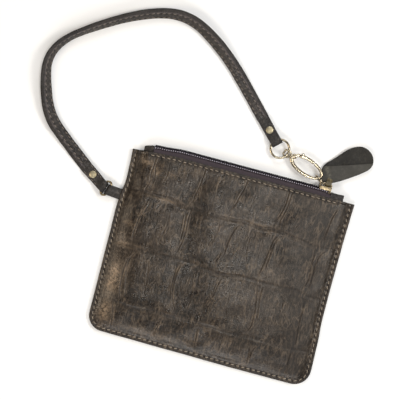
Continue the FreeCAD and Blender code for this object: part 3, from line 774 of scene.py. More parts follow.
def seam_stops():
    """Places and headings of the perimeter stitches, in the flat pattern, down one side and up the other."""
    x, low, r = HALF_W - SEAM_INSET, LOW + SEAM_INSET, CORNER_R - SEAM_INSET
    top = TOP - SEAM_BARE_END
    side, turn, base = top - (low + r), math.pi * r / 2, 2 * (x - r)
    total = 2 * side + 2 * turn + base
    count = int(total // SEAM_PITCH)
    stops = []
    for i in range(count):
        d = (i + 0.5) * total / count
        mirrored = d > total / 2
        d = total - d if mirrored else d
        if d < side:
            at, q = (-x, top - d), 0.0
        elif d < side + turn:
            q = (d - side) / r
            at = (-x + r - r * math.cos(q), low + r - r * math.sin(q))
        else:
            q = math.pi / 2
            at = (-x + r + d - side - turn, low)
        along = (math.sin(q), -math.cos(q))
        if mirrored:
            at, along = (-at[0], at[1]), (along[0], -along[1])
        stops.append((at, along))
    return stops


def zip_stops():
    """Places and headings of the stitches along the zip, in the flat pattern."""
    half = HALF_W - ZIP_ROW_BARE_END
    count = int(2 * half // SEAM_PITCH)
    return [((-half + (i + 0.5) * 2 * half / count, ZIP_ROW_Y), (1.0, 0.0)) for i in range(count)]


def swell(t):
    """Steep at its start and level at its end."""
    return 1 - (1 - np.clip(t, 0, 1)) ** 2.1


def pillow(x, y):
    """The front's smooth height: a flat sewn rim, long soft slopes and an uneven, slightly domed middle."""
    beside, over, d = HALF_W - np.abs(x), y - LOW, inset_of(x, y)
    soft = 11.5 + 14 * smooth_step((60 - y) / 60)
    rise = swell((beside - 3.2) / soft) * swell((over - 3.2) / 34) * smooth_step((d - 2.6) / 4)
    dome = 0.9 * np.clip(1 - (x / 80) ** 2, 0, 1) * np.clip(1 - (y / 70) ** 2, 0, 1)
    waves = undulation(x, y, 3, 0.36) * np.clip((d - 4.5) / 8, 0, 1) * np.clip((TOP - y) / 14, 0.15, 1)
    return SEAM_T + (PLATEAU_Z - SEAM_T) * rise + dome + waves


def sewn_channels(d, y, inside):
    """How deep in the pressed lines under the two rows of stitches a point is."""
    return np.exp(-(((d - SEAM_INSET) / 0.75) ** 2)) + np.exp(-(((y - ZIP_ROW_Y) / 0.7) ** 2)) * inside


def hole_mask(x, y, stops):
    """Dark where the needle went through, at both ends of each stitch."""
    dark = np.zeros(x.shape)
    for (px, py), (ax, ay) in stops:
        for end in (-1.75, 1.75):
            hx, hy = px + ax * end, py + ay * end
            near = (np.abs(x - hx) < 2) & (np.abs(y - hy) < 2)
            dark[near] += np.exp(-(((x[near] - hx) ** 2 + (y[near] - hy) ** 2) / 0.5))
    return np.clip(dark, 0, 1)


def glow(x, y, spots):
    """Pale spots of painted sheen, each given as its middle, its two half sizes and its strength."""
    total = np.zeros(x.shape)
    for cx, cy, rx, ry, strength in spots:
        total += strength * np.exp(-(((x - cx) / rx) ** 2) - (((y - cy) / ry) ** 2))
    return total


# Painted sheen: pale spots on the front where warm light glints off its slopes.
PAINTED_SHEEN_SPOTS = [
    (-76.5, -24, 4.5, 7, 0.45), (-77, -35, 4.8, 6, 0.5), (-77, -56, 4.5, 8, 0.42), (-76, -2, 10, 1.8, 0.3),
    (-76, 14.5, 5, 2, 0.25), (-74, 64, 5, 2.6, 0.35), (-65, 58, 3, 3, 0.3), (-52, 38.4, 9, 1.3, 0.3),
    (-40, -64, 26, 3, 0.16), (-54, 58, 4, 3, 0.18), (20, 38.5, 18, 1.2, 0.12),
]


def front_panel():
    plan = plan_grid(0, TOP, 0.34, 0.42)
    x, y = plan
    d = inset_of(x, y)
    inside = np.clip((d - 4.5) / 5, 0, 1)
    height, low, lip_wear_and_sheen = scales(x, y)
    smooth = pillow(x, y)
    worked = 0.4 * np.exp(-((np.minimum(d, TOP - y) / 0.4) ** 2))
    top = smooth + height * inside - 0.26 * sewn_channels(d, y, inside) - worked
    holes = hole_mask(x, y, seam_stops() + zip_stops())
    top -= 0.5 * holes
    # Dark cut edges, and a dark line along the mouth that is partly the edge and partly a painted contact
    # shadow over the tape.
    rim = np.clip(1 - (d - 0.6) / 1.6, 0, 1) * 0.85 + 0.9 * np.exp(-((TOP - y) / 0.5) ** 2)
    # Painted shade: a soft dark band near the right side where the slope turns from the light, and darker
    # towards the right.
    painted_right_shade = 0.5 * np.exp(-(((x - 69 + 0.05 * y) / 8) ** 2)) * smooth_step((66 - y) / 20)
    painted_right_shade += 0.22 * smooth_step((x - 10) / 50)
    # Painted shade in the creases and on the right side, and dark needle holes, join the dark edges.
    dark = np.clip(rim + (0.6 * low + painted_right_shade) * inside + 1.4 * holes, 0, 1)
    # Pale marks: painted sheen spots, and the crease lips' wear and painted highlight, kept out of the
    # creases.
    rubbed_and_sheen = (1.3 * glow(x, y, PAINTED_SHEEN_SPOTS) + 0.42 * lip_wear_and_sheen) * (1 - low) * inside
    none = np.zeros(x.shape)
    shell("front_leather", plan, top, smooth - LEATHER, "croc", "front_panel",
          {"dark": (dark, none + 0.5), "rubbed_and_sheen": (rubbed_and_sheen, none)})


def back_panel():
    plan = plan_grid(0, TOP, 0.5, 0.8)
    x, y = plan
    d = inset_of(x, y)
    inside = np.clip((d - 4.5) / 5, 0, 1)
    height, low, lip_wear_and_sheen = scales(-x, y + 7)
    relief = 0.45 - height * 0.7
    worked = 0.35 * np.exp(-((np.minimum(d, TOP - y) / 0.5) ** 2))
    bottom = np.clip(relief * inside + 0.05 + 0.3 * sewn_channels(d, y, inside) + worked, 0.02, 0.75)
    holes = hole_mask(x, y, seam_stops())
    rim = np.clip(1 - (d - 0.5) / 1.6, 0, 1) * 0.75
    # Dark cut edges, painted shade in the creases and dark needle holes.
    dark = np.clip(rim + 0.5 * low * inside + 0.9 * holes, 0, 1)
    none = np.zeros(x.shape)
    # The back's pale marks are the crease lips' wear and painted highlight.
    shell("back_leather", plan, none + LEATHER, bottom, "croc", "back_panel",
          {"dark": (none + 0.5, dark), "rubbed_and_sheen": (none, 0.4 * lip_wear_and_sheen * inside)})


LINING_INSET, LINING_T, LINING_TOP = 1.5, 0.3, 66.0


def linings():
    """Thin cloth glued inside both leathers. It stops short of the mouth, where the zip tape covers it."""
    plan = plan_grid(LINING_INSET, LINING_TOP, 1.2, 2.4)
    x, y = plan
    crumple = np.abs(undulation(x, y, 5, 0.03) * np.clip((inset_of(x, y) - 8) / 8, 0, 1))
    front_top = pillow(x, y) - LEATHER - 0.02 - crumple
    back_top = np.full(x.shape, LEATHER + LINING_T) + crumple
    for side, top in (("front", front_top), ("back", back_top)):
        cloth = shell(side + "_lining_cloth", plan, top, top - LINING_T + 0.02, "lining", side + "_lining")


def pouch_threads():
    def slanted(stop, least, most):
        """A stitch's place on the settled pouch, and its heading, turned a little at random."""
        (px, py), (ax, ay) = stop
        slant = rng.uniform(least, most)
        return settled(px, py), unit(np.array([ax - ay * slant, ay + ax * slant, 0]))

    seam = Build()
    for stop in seam_stops():
        (x, y), along = slanted(stop, 0.1, 0.24)
        stitch(seam, np.array([x, y, SEAM_T - 0.15]), along, SKY, 2.5, 0.32, 0.24)
        stitch(seam, np.array([x, y, 0.42]), along, -SKY, 3.0, 0.24, 0.1)
    piece("perimeter_thread", seam, "thread", "root", "seam_thread")
    row = Build()
    for stop in zip_stops():
        (x, y), along = slanted(stop, -0.2, -0.06)
        z = float(pillow(*np.array(stop[0])[:, None])[0]) + 0.15
        stitch(row, np.array([x, y, z]), along, SKY, 2.5, 0.32, 0.24)
    piece("mouth_thread", row, "thread", "root", "zip_edge_thread")


front_panel()
back_panel()
linings()
pouch_threads()


# ---------------------------------------------------------------- zip
COIL_PITCH = 1.7
TAPE_IN_TAB = 1.6
# The middle of a coil's turns, as Y and the height over the chain's middle, and half of their slope.
COIL_MID, COIL_HALF = (77.5, 1.6), (1.12, -0.88)
# How far the chain lies below its straight line, at places along it.
DROP_LINE = [(-80, -3.2), (-66, -1.4), (-48, 0), (61, 0), (70, -2.2), (80, -2.2)]


def zip_drop(x):
    """The chain curves down towards the mouth at both of its ends."""
    return float(eased(x, DROP_LINE))


def tape_profile(side):
    """A tape's middle line across the zip, as (Y, Z) points: out of the mouth, then down behind the coil."""
    line = [(66.1, 2.55), (69, 2.55), (71.5, 2.45), (73.4, 2.25), (74.8, 2.0), (75.6, 1.6), (76.4, 0.95),
            (77.3, 0.3)]
    return [(y, ZIP_Z + side * z) for y, z in line]


def zip_tape(name, side, node):
    line = smooth_line(tape_profile(side), 0.7)
    heading = headings(line)
    half_t = 0.22
    steps = 122                                     # cross-sections along the tape
    build = Build()
    rings = []
    for x in np.linspace(ZIP_LEFT, ZIP_RIGHT + TAPE_IN_TAB, steps):
        drop = zip_drop(x)
        ripple = 0.05 * math.sin(x * 0.9) + 0.04 * math.sin(x * 0.37 + 1)
        outer, inner = [], []
        for (y, z), (dy, dz) in zip(line, heading):
            share = min(1.0, max(0.0, (y - 71) / 5))
            at = np.array([x, y + drop * share, z + ripple * share])
            normal = np.array([0, -dz, dy])
            outer.append(at + normal * half_t)
            inner.append(at - normal * half_t)
        rings.append(outer + inner[::-1])
    build.loft(rings)
    piece(name, build, "tape", "root", node)


def zip_coil(name, side, node):
    """One nylon coil: long flat turns that slope from the tape down to the other coil's heads."""
    per_turn = 16
    turns = (ZIP_RIGHT - ZIP_LEFT - 1.8) / COIL_PITCH
    q = np.arange(0, int(turns * per_turn) + 1) * 2 * math.pi / per_turn
    x = ZIP_LEFT + (0.45 if side > 0 else 0.45 + COIL_PITCH / 2) + q / (2 * math.pi) * COIL_PITCH
    y = COIL_MID[0] + eased(x, DROP_LINE) + COIL_HALF[0] * np.sin(q) + 0.26 * np.cos(q)
    z = ZIP_Z + side * (COIL_MID[1] + COIL_HALF[1] * np.sin(q) + 0.33 * np.cos(q))
    build = Build()
    tube_along(build, np.column_stack([x + 0.14 * np.sin(2 * q), y, z]), 0.44, count=8)
    piece(name, build, "coil", "root", node, sharp=60)


def coil_stitch_highlights():
    """The chain stitch that holds the front coil to its tape, one small stitch on each turn; its pale thread
    is a painted highlight on each turn.
    """
    build = Build()
    for k in range(int((ZIP_RIGHT - ZIP_LEFT) / COIL_PITCH) - 1):
        x = ZIP_LEFT + 0.9 + k * COIL_PITCH
        at = np.array([x + 0.1, COIL_MID[0] - 0.75 + zip_drop(x), ZIP_Z + COIL_MID[1] + 1.3])
        stitch(build, at, np.array([0.9, 0.35, -0.27]), np.array([0, 0.62, 0.79]), 0.6, 0.36, 0.1)
    piece("zip_coil_stitch_highlights", build, "coil_stitch_highlights", "root")


def end_tab(name, node, fold, y_low, y_high):
    """A leather tab folded over one end of the zip. Fold is its path over the end, as (X, Z) points."""
    line = smooth_line(fold, 0.6)
    centre, up, halves = [], [], []
    for (x, z), (dx, dz) in zip(line, headings(line)):
        low, high = float(eased(x, y_low)), float(eased(x, y_high))
        centre.append((x, (low + high) / 2, z))
        up.append((-dz, 0, dx))
        halves.append((high - low) / 2)
    build = Build()
    build.sweep(centre, [(0, 1, 0)] * len(line), up, lambda i: strip_section(halves[i], 0.4))
    dark = [0.65 if abs(a) > halves[0] - 0.5 else 0.15 for a, _ in strip_section(halves[0], 0.4)]
    dark = np.tile(dark, len(line))
    piece(name, build, "strap", "root", node, masks={"dark": dark, "rubbed_and_sheen": dark * 0})


def plate(build, outline, origin, axes, thickness, ease=0.2):
    """A plate with eased edges, from a convex outline in the plane of the first two axes."""
    p = np.array(outline, float)
    middle = p.mean(0)
    a, b, n = (np.array(v, float) for v in axes)
    rings = []
    for depth, inset in ((0, ease), (ease * 0.3, ease * 0.3), (ease, 0), (thickness - ease, 0),
                         (thickness - ease * 0.3, ease * 0.3), (thickness, ease)):
        scaled = middle + (p - middle) * (1 - inset / np.abs(p - middle).max(0).min())
        rings.append([np.array(origin) + a * u + b * v + n * depth for u, v in scaled])
    build.loft(rings)


def rounded_box(half_a, half_b, radius, steps=5):
    """A rectangle with round corners, as points in a plane."""
    out = []
    for k, (sa, sb) in enumerate(((1, 1), (-1, 1), (-1, -1), (1, -1))):
        for q in np.linspace(0, math.pi / 2, steps) + k * math.pi / 2:
            middle_a, middle_b = sa * (half_a - radius), sb * (half_b - radius)
            out.append((middle_a + radius * math.cos(q), middle_b + radius * math.sin(q)))
    return out


def slider():
    """The slider straddles the chain: two plates, a web and side flanges between, and an arched bridge."""
    low, high = box_mm("slider")
    x0, x1 = low[0], high[0]
    mid_x, half_x = (x0 + x1) / 2, (x1 - x0) / 2
    axes = ((1, 0, 0), (0, 0, 1), (0, 1, 0))
    build = Build()
    plate(build, rounded_box(half_x, 3.1, 1.6), (mid_x, 79.15, ZIP_Z), axes, 0.8, 0.25)
    plate(build, rounded_box(half_x, 1.1, 0.7), (mid_x, 75.6, ZIP_Z), axes, 0.8, 0.2)
    plate(build, rounded_box(2.0, 0.3, 0.15), (x1 - 2.2, 76.3, ZIP_Z), axes, 3.0, 0.1)
    for side in (-1, 1):
        plate(build, rounded_box(half_x - 0.4, 0.24, 0.2), (mid_x, 77.3, ZIP_Z + side * 2.88), axes, 2.0, 0.1)
    arch = [(57.95, 79.8), (57.95, 81.0), (58.4, 82.0), (59.4, 82.35), (62.4, 82.4), (65.3, 82.35),
            (66.3, 82.0), (66.75, 81.0), (66.75, 79.8)]
    line = smooth_line(arch, 0.4)
    centre = [(x, y, ZIP_Z) for x, y in line]
    up = [(dy, -dx, 0) for dx, dy in headings(line)]
    build.sweep(centre, [SKY] * len(line), up, strip_section(1.2, 0.42))
    piece("zip_slider", build, "bronze", "slider", "slider")


for chain_half, chain_side in (("front", 1), ("back", -1)):
    zip_tape("tape_" + chain_half, chain_side, "zip_tape_" + chain_half)
    zip_coil("coil_" + chain_half, chain_side, "zip_coil_" + chain_half)
coil_stitch_highlights()
end_tab("end_tab_left", "zip_tab_left",
        [(-71.8, 6.0), (-74.5, 5.2), (-77, 4.0), (-78.6, 3.1), (-78.2, 2.3), (-75.5, 1.75), (-71.8, 1.65)],
        [(-80, 69.6), (-71, 70.4)], [(-80, 73.6), (-76.8, 75.2), (-71, 76.2)])
end_tab("end_tab_right", "zip_tab_right",
        [(67.7, 6.1), (71, 6.0), (74, 5.5), (76.6, 4.5), (77.6, 3.5), (76.6, 2.4), (73, 1.75), (67.7, 1.65)],
        [(66, 70.6), (79, 70.8)], [(66, 76.9), (72, 76.6), (79, 76.9)])
slider()


# ---------------------------------------------------------------- pull ring and leaf
def pull_ring():
    held, hooked, z = np.array([60.6, 80.8, 0]), np.array([52.7, 86.4, 0]), 5.4
    middle, half = (held + hooked) / 2 + [0, 0, z], (held - hooked) / 2
    build = Build()
    tube_along(build, ring_points(middle, half, [0, 0, np.linalg.norm(half)], 80), 0.5, True)
    piece("zip_pull_ring", build, "metal", "pull_ring", "pull_ring")


# The leaf's outline, and two points of the straight cut that its upper layer ends at.
LEAF = [(58.0, 84.2), (57.1, 88.6), (56.4, 92.8), (58.2, 97.0), (62.2, 101.2), (67.0, 106.4), (72.0, 111.9),
        (79.0, 116.0), (85.0, 116.2), (90.4, 112.8), (93.0, 107.2), (91.6, 101.6), (86.4, 96.6), (78.6, 91.0),
        (71.2, 86.2), (66.6, 84.0), (61.6, 83.2)]
CUT_A, CUT_B = np.array([50.0, 93.0]), np.array([100.0, 109.1])


def side_of_cut(x, y):
    """How far a point is to the upper side of the cut."""
    run = CUT_B - CUT_A
    return (run[0] * (y - CUT_A[1]) - run[1] * (x - CUT_A[0])) / np.linalg.norm(run)


def leaf_lift(x, y):
    """The leaf is not quite flat: it curls up a little towards its round end and along its rims."""
    along = (x - 63) * 0.78 + (y - 85) * 0.62
    across = -(x - 63) * 0.62 + (y - 85) * 0.78
    curl = 0.0011 * np.clip(along, 0, 50) ** 2 + 0.0035 * (across - 2) ** 2 + 0.1 * np.sin(along * 0.35)
    return curl * np.clip((x - 57) / 8, 0, 1)


def below_cut(points):
    """The part of an outline on the lower side of the straight cut, with points along the cut itself."""
    side = side_of_cut(*points.T)
    first = int(np.flatnonzero((side <= 0) & (np.roll(side, 1) > 0))[0])
    kept = np.roll(points, -first, axis=0)[:int((side <= 0).sum())]
    share = np.linspace(0, 1, 42)[1:-1, None]
    return np.vstack([kept, kept[-1] + (kept[0] - kept[-1]) * share])


def leaf_layer(name, outline, spine, z0, z1, look, node, cut=False):
    """One leather layer of the leaf: rings from its outline in to a spine line, top and underside. The cut
    layer is thinned towards the clasp, pale along its cut, and painted with a highlight across its neck."""
    a, b = (np.array(p, float) for p in spine)
    run = b - a
    t = np.clip(((outline - a) @ run) / (run @ run), 0, 1)
    targets = a + t[:, None] * run
    build = Build()
    shares = [0, 0.012, 0.03, 0.07, 0.13, 0.22, 0.33, 0.45, 0.58, 0.72, 0.86, 1.0]
    rings, dark, rubbed_and_sheen = [], [], []
    for top in (True, False):
        for share in (shares[::-1] if top else shares):
            x, y = (outline + (targets - outline) * share).T
            rim = math.exp(-share * 60) * 0.22 + math.exp(-share * 25) * 0.06
            thinned = (z1 - z0) * 0.7 * smooth_step((66 - x) / 10) if cut else 0.0
            z = (z1 - rim - thinned if top else z0 + rim * (z1 - z0 > 1.1)) + leaf_lift(x, y)
            rings.append(np.column_stack([x, y, z]))
            dark.append(np.full(len(x), 0.7 if share < 0.012 else 0.0))
            pale = np.zeros(len(x))
            if cut:
                pale = 0.5 * np.exp(-((side_of_cut(x, y) / 0.45) ** 2))
                # A painted highlight: a pale band across the neck.
                pale += 0.4 * np.exp(-(((x - 65.4 + 0.56 * (y - 84)) / 1.4) ** 2))
            rubbed_and_sheen.append(pale)
    build.loft(rings, caps=False)
    return piece(name, build, look, "leaf", node,
                 masks={"dark": np.concatenate(dark), "rubbed_and_sheen": np.clip(np.concatenate(rubbed_and_sheen), 0, 1)})


def leaf():
    outline = smooth_line(LEAF, 0.9, closed=True)
    leaf_layer("leaf_under", outline, ((66, 91), (85, 107)), 0.6, 1.75, "leaf_dark", "leaf_back")
    upper = below_cut(outline)
    leaf_layer("leaf_over", upper, ((67, 92.5), (86, 101.5)), 1.78, 2.8, "leaf_grey", "leaf_front", cut=True)
    fold = [(90.0, 2.2), (88.0, 2.25), (86.4, 2.5), (85.3, 3.3), (84.2, 4.8), (82.6, 5.7), (81.1, 5.2),
            (80.55, 4.0), (80.95, 2.85), (82.0, 2.2), (83.2, 2.1), (84.4, 2.6)]
    line = smooth_line(fold, 0.35)
    centre = [(64.0 + 0.12 * (y - 82) * (y > 84), y, z) for y, z in line]
    up = [(0, -dz, dy) for dy, dz in headings(line)]
    build = Build()
    build.sweep(centre, [(1, 0, 0)] * len(line), up, strip_section(2.15, 0.36, 0.25))
    none = np.zeros(len(build.points))
    piece("leaf_neck_loop", build, "olive", "leaf", "leaf_loop", masks={"dark": none, "rubbed_and_sheen": none})


pull_ring()
leaf()

# ---------------------------------------------------------------- clasp, swivel and O-ring
O_RING_AT = np.array([21.2, 98.9, 3.0])
CLASP_TURN = math.radians(-19.45)
CLASP_Z = 3.6
ALONG = np.array([math.cos(CLASP_TURN), math.sin(CLASP_TURN), 0])
ASIDE = np.array([-math.sin(CLASP_TURN), math.cos(CLASP_TURN), 0])


def on_clasp(s, t, z=0.0):
    """A place from its distance along the clasp from the O-ring, its distance aside and its height."""
    return np.array([O_RING_AT[0], O_RING_AT[1], CLASP_Z]) + ALONG * s + ASIDE * t + SKY * z


def band_at(q):
    """The clasp's oval band at an angle: its middle, its outward direction and its half width."""
    outer = np.array([24.25 + 14.65 * math.cos(q), 7.1 * math.sin(q)])
    inner = np.array([25.0 + 11.9 * math.cos(q), 4.35 * math.sin(q)])
    return (outer + inner) / 2, unit(outer - inner), np.linalg.norm(outer - inner) / 2


def soft_section(half_a, half_b, power=2.6, count=16):
    """An oval, slightly squared section."""
    out = []
    for q in np.linspace(0, 2 * math.pi, count, endpoint=False):
        c, s = math.cos(q), math.sin(q)
        a, b = abs(c) ** (2 / power), abs(s) ** (2 / power)
        out.append((half_a * math.copysign(a, c), half_b * math.copysign(b, s)))
    return out


def band_sweep(build, q_from, q_to, steps, half_t, grow):
    """Part of the clasp's oval band, between two angles in degrees."""
    centre, across, sections = [], [], []
    for share in np.linspace(0, 1, steps):
        middle, out, half = band_at(math.radians(q_from + (q_to - q_from) * share))
        centre.append(on_clasp(*middle))
        across.append(ALONG * out[0] + ASIDE * out[1])
        sections.append(soft_section(half * grow(share), half_t * min(1.0, grow(share) + 0.05)))
    build.sweep(centre, across, [SKY] * steps, lambda i: sections[i])


def rounded_end(share, start=0.03, end=0.03):
    """Rounds off both ends of a swept bar."""
    a, b = min(1.0, share / start), min(1.0, (1 - share) / end)
    return max(0.3, math.sqrt(1 - (1 - a) ** 2) * math.sqrt(1 - (1 - b) ** 2))


PIN = (12.6, 1.6)


def clasp():
    frame_build = Build()
    band_sweep(frame_build, 73.5, -196, 110, 1.2, lambda share: rounded_end(share, 0.008, 0.05))
    hinge_boss = [(-1.2, 0.4), (-1.18, 1.2), (-0.9, 1.75), (-0.4, 2.0), (0.4, 2.0), (0.9, 1.75), (1.18, 1.2),
                  (1.2, 0.4)]
    frame_build.turned(hinge_boss, on_clasp(*PIN), SKY, 28)
    neck = [(0, 1.1), (0.15, 1.5), (0.6, 1.65), (1.4, 1.7), (2.6, 1.5), (3.4, 0.9)]
    frame_build.turned(neck, on_clasp(9.75, 0.1), ALONG, 24)
    piece("clasp_body", frame_build, "metal", "clasp", "clasp_frame")

    gate_build = Build()
    arm = [PIN, (13.7, 3.0), (14.9, 4.25)]
    arm += [tuple(band_at(math.radians(q))[0]) for q in np.linspace(136, 75.2, 36)[3:]]
    line = smooth_line(arm, 0.45)
    centre = [on_clasp(s, t) for s, t in line]
    across = [ALONG * -dt + ASIDE * ds for ds, dt in headings(line)]
    sections = []
    for share in np.arange(len(line)) / (len(line) - 1):
        grow = rounded_end(share, 0.02, 0.015)
        half = 1.42 - 0.12 * share + 0.14 * math.exp(-(((share - 0.3) / 0.12) ** 2))
        thick = 0.5 if share < 0.09 else 0.5 + 0.65 * min(1.0, (share - 0.09) / 0.12)
        sections.append(soft_section(half * grow * (0.75 if share < 0.1 else 1.0), thick * max(grow, 0.4)))
    gate_build.sweep(centre, across, [SKY] * len(line), lambda i: sections[i])
    thumb_knob = [(-0.75, 0.2), (-0.72, 0.7), (-0.4, 1.0), (0.4, 1.0), (0.72, 0.7), (0.75, 0.2)]
    gate_build.turned(thumb_knob, on_clasp(17.3, 6.45), SKY, 20)
    piece("clasp_gate_arm", gate_build, "metal", "gate", "clasp_gate")

    pin_build = Build()
    pin = [(-1.34, 0.2), (-1.3, 0.55), (-1.2, 0.72), (1.2, 0.72), (1.3, 0.55), (1.34, 0.2)]
    pin_build.turned(pin, on_clasp(*PIN), SKY, 24)
    piece("gate_pin_head", pin_build, "metal", "clasp", "gate_pin")


def swivel():
    lean = math.radians(35)
    tilted = ASIDE * math.cos(lean) + SKY * math.sin(lean)
    points = [on_clasp(6.6, 0) + ALONG * a + tilted * b for a, b in rounded_box(2.36, 2.9, 1.3, 9)]
    build = Build()
    tube_along(build, points, 0.7, True)
    post = [(-0.2, 0.6), (0.0, 1.15), (0.2, 1.32), (0.45, 1.32), (0.62, 1.1), (0.7, 0.8), (2.0, 0.8)]
    build.turned(post, on_clasp(8.9, 0), ALONG, 24)
    piece("swivel", build, "metal", "swivel", "swivel_eye")


def o_ring():
    tilt = math.radians(4.8)
    a = (ALONG * math.cos(tilt) + SKY * math.sin(tilt)) * 7.1
    build = Build()
    tube_along(build, ring_points(O_RING_AT, a, ASIDE * 7.1, 96), 0.9, True, 14)
    piece("strap_o_ring", build, "metal", "o_ring", "o_ring")


clasp()
swivel()
o_ring()


# ---------------------------------------------------------------- strap loops, rivets, side ring and tab
STRIP_ROW_INSET = 1.1
# Where a rivet's shank starts and ends, over the floor.
SHANK = (0.2, 2.4)


def folded_strip(name, node, body, fold, start, bar, across_start, across_bar, half_start, half_bar, half_t):
    """A leather strip folded round a bar. Fold is (distance from the bar along the strip, height) points, and
    start is where that distance is the whole length. The strip's across direction turns on the way."""
    start, bar = np.array(start, float), np.array(bar, float)
    length = np.linalg.norm(start - bar)
    centre, across, halves = [], [], []
    for k, z in smooth_line(fold, 0.55):
        share = np.clip(k / length, 0, 1)
        centre.append((*(bar + (start - bar) / length * k), z))
        across.append((*unit(np.array(across_bar) * (1 - share) + np.array(across_start) * share), 0))
        halves.append(half_bar + (half_start - half_bar) * share)
    centre, across = np.array(centre), np.array(across)
    up = np.cross(headings(centre), across)
    up /= np.linalg.norm(up, axis=1)[:, None]
    build = Build()
    build.sweep(centre, across, up, lambda i: strip_section(halves[i], half_t))
    edge = [0.6 if abs(a) > 0.93 else 0.12 for a, _ in strip_section(1.0, half_t / half_bar, 0.05)]
    dark = np.tile(edge, len(centre))
    piece(name, build, "strap", body, node, masks={"dark": dark, "rubbed_and_sheen": dark * 0})
    return centre, across, up, halves


def strip_stitches(name, body, frames, first, last, pitch, flip=1.0):
    """Two rows of stitches beside a strip's edges, between two shares of its length."""
    centre, across, up, halves = frames
    heading = headings(centre)
    gone = travelled(centre)
    build = Build()
    for side in (1, -1):
        for d in np.arange(gone[-1] * first + pitch / 2, gone[-1] * last, pitch):
            i = int(np.argmin(abs(gone - d)))
            at = centre[i] + across[i] * side * (halves[i] - STRIP_ROW_INSET) + up[i] * flip * 0.5
            stitch(build, at, heading[i], up[i] * flip, pitch * 0.72, 0.22, 0.16)
    piece(name, build, "strap_thread", body)


def rivet(name, node, body):
    """A domed rivet, with a thin cap under the strap."""
    (x, y, _) = sum(box_mm(node)) / 2
    low, high = SHANK
    dome = [(-0.05, 2.5), (0.05, 2.82), (0.22, 2.92), (0.42, 2.8), (0.64, 2.45), (0.82, 1.95), (0.94, 1.35),
            (1.0, 0.7), (1.02, 0.1)]
    build = Build()
    build.turned([(high + rise, radius) for rise, radius in dome], (x, y, 0), SKY, 36)
    shank = [(0.02, 0.1), (0.02, 1.9), (0.08, 2.1), (low, 2.1), (low + 0.05, 0.9), (high, 0.9)]
    build.turned(shank, (x, y, 0), SKY, 28)
    piece(name, build, "rivet", body, node)


def right_loop():
    end, ahead = STRAP_LINE[-1][:2], STRAP_AHEAD[-1][:2]
    bar = end + ahead * 20.0
    side = np.array([-ahead[1], ahead[0]])
    fold = [(19.9, 1.82), (16, 1.84), (10, 1.86), (6.5, 2.0), (4.0, 2.9), (1.6, 4.1), (-1.2, 4.3),
            (-2.9, 3.9), (-3.4, 2.6), (-3.1, 1.2), (-1.6, 0.72), (1.5, 0.74), (6, 0.75), (12, 0.75),
            (17.4, 0.75)]
    frames = folded_strip("strap_loop_right_fold", "strap_loop_right", "strap_end", fold, end, bar,
                          side, side, 4.5, 4.2, 0.5)
    strip_stitches("strap_loop_right_thread", "strap_end", frames, 0.02, 0.36, 3.6, -1.0)
    rivet("rivet_dome_right", "rivet_right", "strap_end")


SIDE_RING_AT = np.array([-99.5, 35.3, 2.5])
RING_OUT = np.array([math.cos(math.radians(162)), math.sin(math.radians(162))])
RING_SIDE = np.array([math.cos(math.radians(72)), math.sin(math.radians(72))])


def left_loop():
    end, ahead = STRAP_LINE[0][:2], STRAP_AHEAD[0][:2]
    bar = SIDE_RING_AT[:2] + RING_OUT * 2.3
    side = np.array([ahead[1], -ahead[0]])
    side *= np.sign(side @ RING_SIDE)
    length = float(np.linalg.norm(end - bar))
    fold = [(length, 1.82), (16, 1.84), (10, 1.86), (6, 2.1), (3.4, 3.3), (1.2, 4.25), (-0.8, 4.1),
            (-1.8, 2.7), (-1.3, 1.2), (0.4, 0.74), (4, 0.75), (10, 0.75), (17.0, 0.75)]
    frames = folded_strip("strap_loop_left_fold", "strap_loop_left", "root", fold, end, bar, side, RING_SIDE,
                          4.7, 4.3, 0.5)
    strip_stitches("strap_loop_left_thread", "root", frames, 0.02, 0.36, 3.6)
    rivet("rivet_dome_left", "rivet_left", "root")


def side_tab():
    """The tab's two layers run from inside the seam, over the ring's near bar and back."""
    bar = SIDE_RING_AT[:2] - RING_OUT * 2.3
    root = np.array([-80.0, 33.0])
    length = float(np.linalg.norm(root - bar))
    fold = [(length, 1.66), (length - 7.2, 1.68), (7.0, 2.1), (4.4, 3.0), (1.6, 3.9), (-0.4, 3.95),
            (-1.45, 2.7), (-1.0, 1.35), (0.8, 0.85), (4.0, 0.9), (7.5, 1.1), (length - 7.6, 1.3),
            (length, 1.36)]
    frames = folded_strip("side_tab_fold", "side_tab", "root", fold, root, bar, (0, 1), RING_SIDE,
                          4.3, 4.2, 0.42)
    strip_stitches("side_tab_thread", "root", frames, 0.26, 0.46, 2.9)


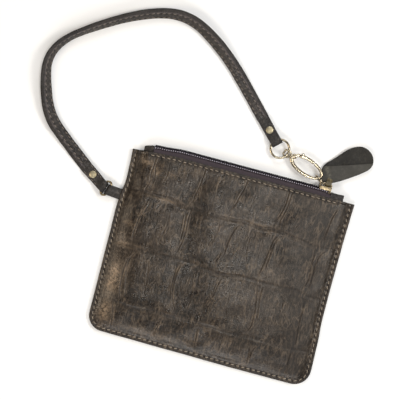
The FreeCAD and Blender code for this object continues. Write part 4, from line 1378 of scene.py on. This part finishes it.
def side_ring():
    points = [np.array([*(SIDE_RING_AT[:2] + RING_OUT * a + RING_SIDE * b), SIDE_RING_AT[2]])
              for a, b in rounded_box(2.3, 5.7, 2.3, 12)]
    build = Build()
    tube_along(build, points, 0.8, True, 14)
    piece("side_link", build, "bronze", "side_ring", "side_ring")


right_loop()
left_loop()
side_tab()
side_ring()
NODES["gate_spring"].data.materials.clear()
NODES["gate_spring"].data.materials.append(LOOKS["steel"]["material"])


# ---------------------------------------------------------------- floor and light
def floor():
    reach = 2.0  # metres
    corners = [(-reach, -reach, 0), (reach, -reach, 0), (reach, reach, 0), (-reach, reach, 0)]
    mesh = bpy.data.meshes.new("floor")
    mesh.from_pydata(corners, [], [(0, 1, 2, 3)])
    look = new_look("floor", "floor", Roughness=0.9, Specular_IOR_Level=0.1)
    tree = look["tree"]
    wire(look, Base_Color=blended(tree, noise(tree, 3), srgb(240, 240, 240), srgb(246, 246, 245)))
    mesh.materials.append(look["material"])
    placed("floor", mesh)


def lamp(name, place, size, power, colour):
    """A soft rectangular light, in metres, that faces the middle of the object."""
    data = bpy.data.lights.new(name, "AREA")
    data.shape, data.size, data.size_y = "RECTANGLE", size[0], size[1]
    data.energy, data.color = power, colour
    obj = placed(name, data)
    obj.location = AIM + Vector(place)
    obj.rotation_euler = (-Vector(place)).to_track_quat("-Z", "Y").to_euler()


def lights():
    lamp("key", (0.75, 0.2, 0.75), (0.35, 0.35), 6, (1.0, 0.97, 0.93))
    lamp("sheen", (0.17, -0.03, 0.95), (0.14, 0.14), 1.9, (1.0, 0.99, 0.97))
    lamp("warm", (-0.8, -0.35, 0.6), (0.35, 0.35), 4, (1.0, 0.86, 0.7))
    lamp("front", (0.1, -0.9, 0.7), (0.8, 0.4), 5, (0.97, 0.98, 1.0))
    lamp("rear", (-0.1, 0.95, 0.7), (0.8, 0.4), 5, (0.98, 0.99, 1.0))
    world = bpy.context.scene.world or bpy.data.worlds.new("world")
    bpy.context.scene.world = world
    world.use_nodes = True
    background = world.node_tree.nodes["Background"]
    background.inputs["Color"].default_value = (1, 1, 1, 1)
    background.inputs["Strength"].default_value = 0.14


floor()
lights()
bpy.context.scene.view_settings.view_transform = "Standard"
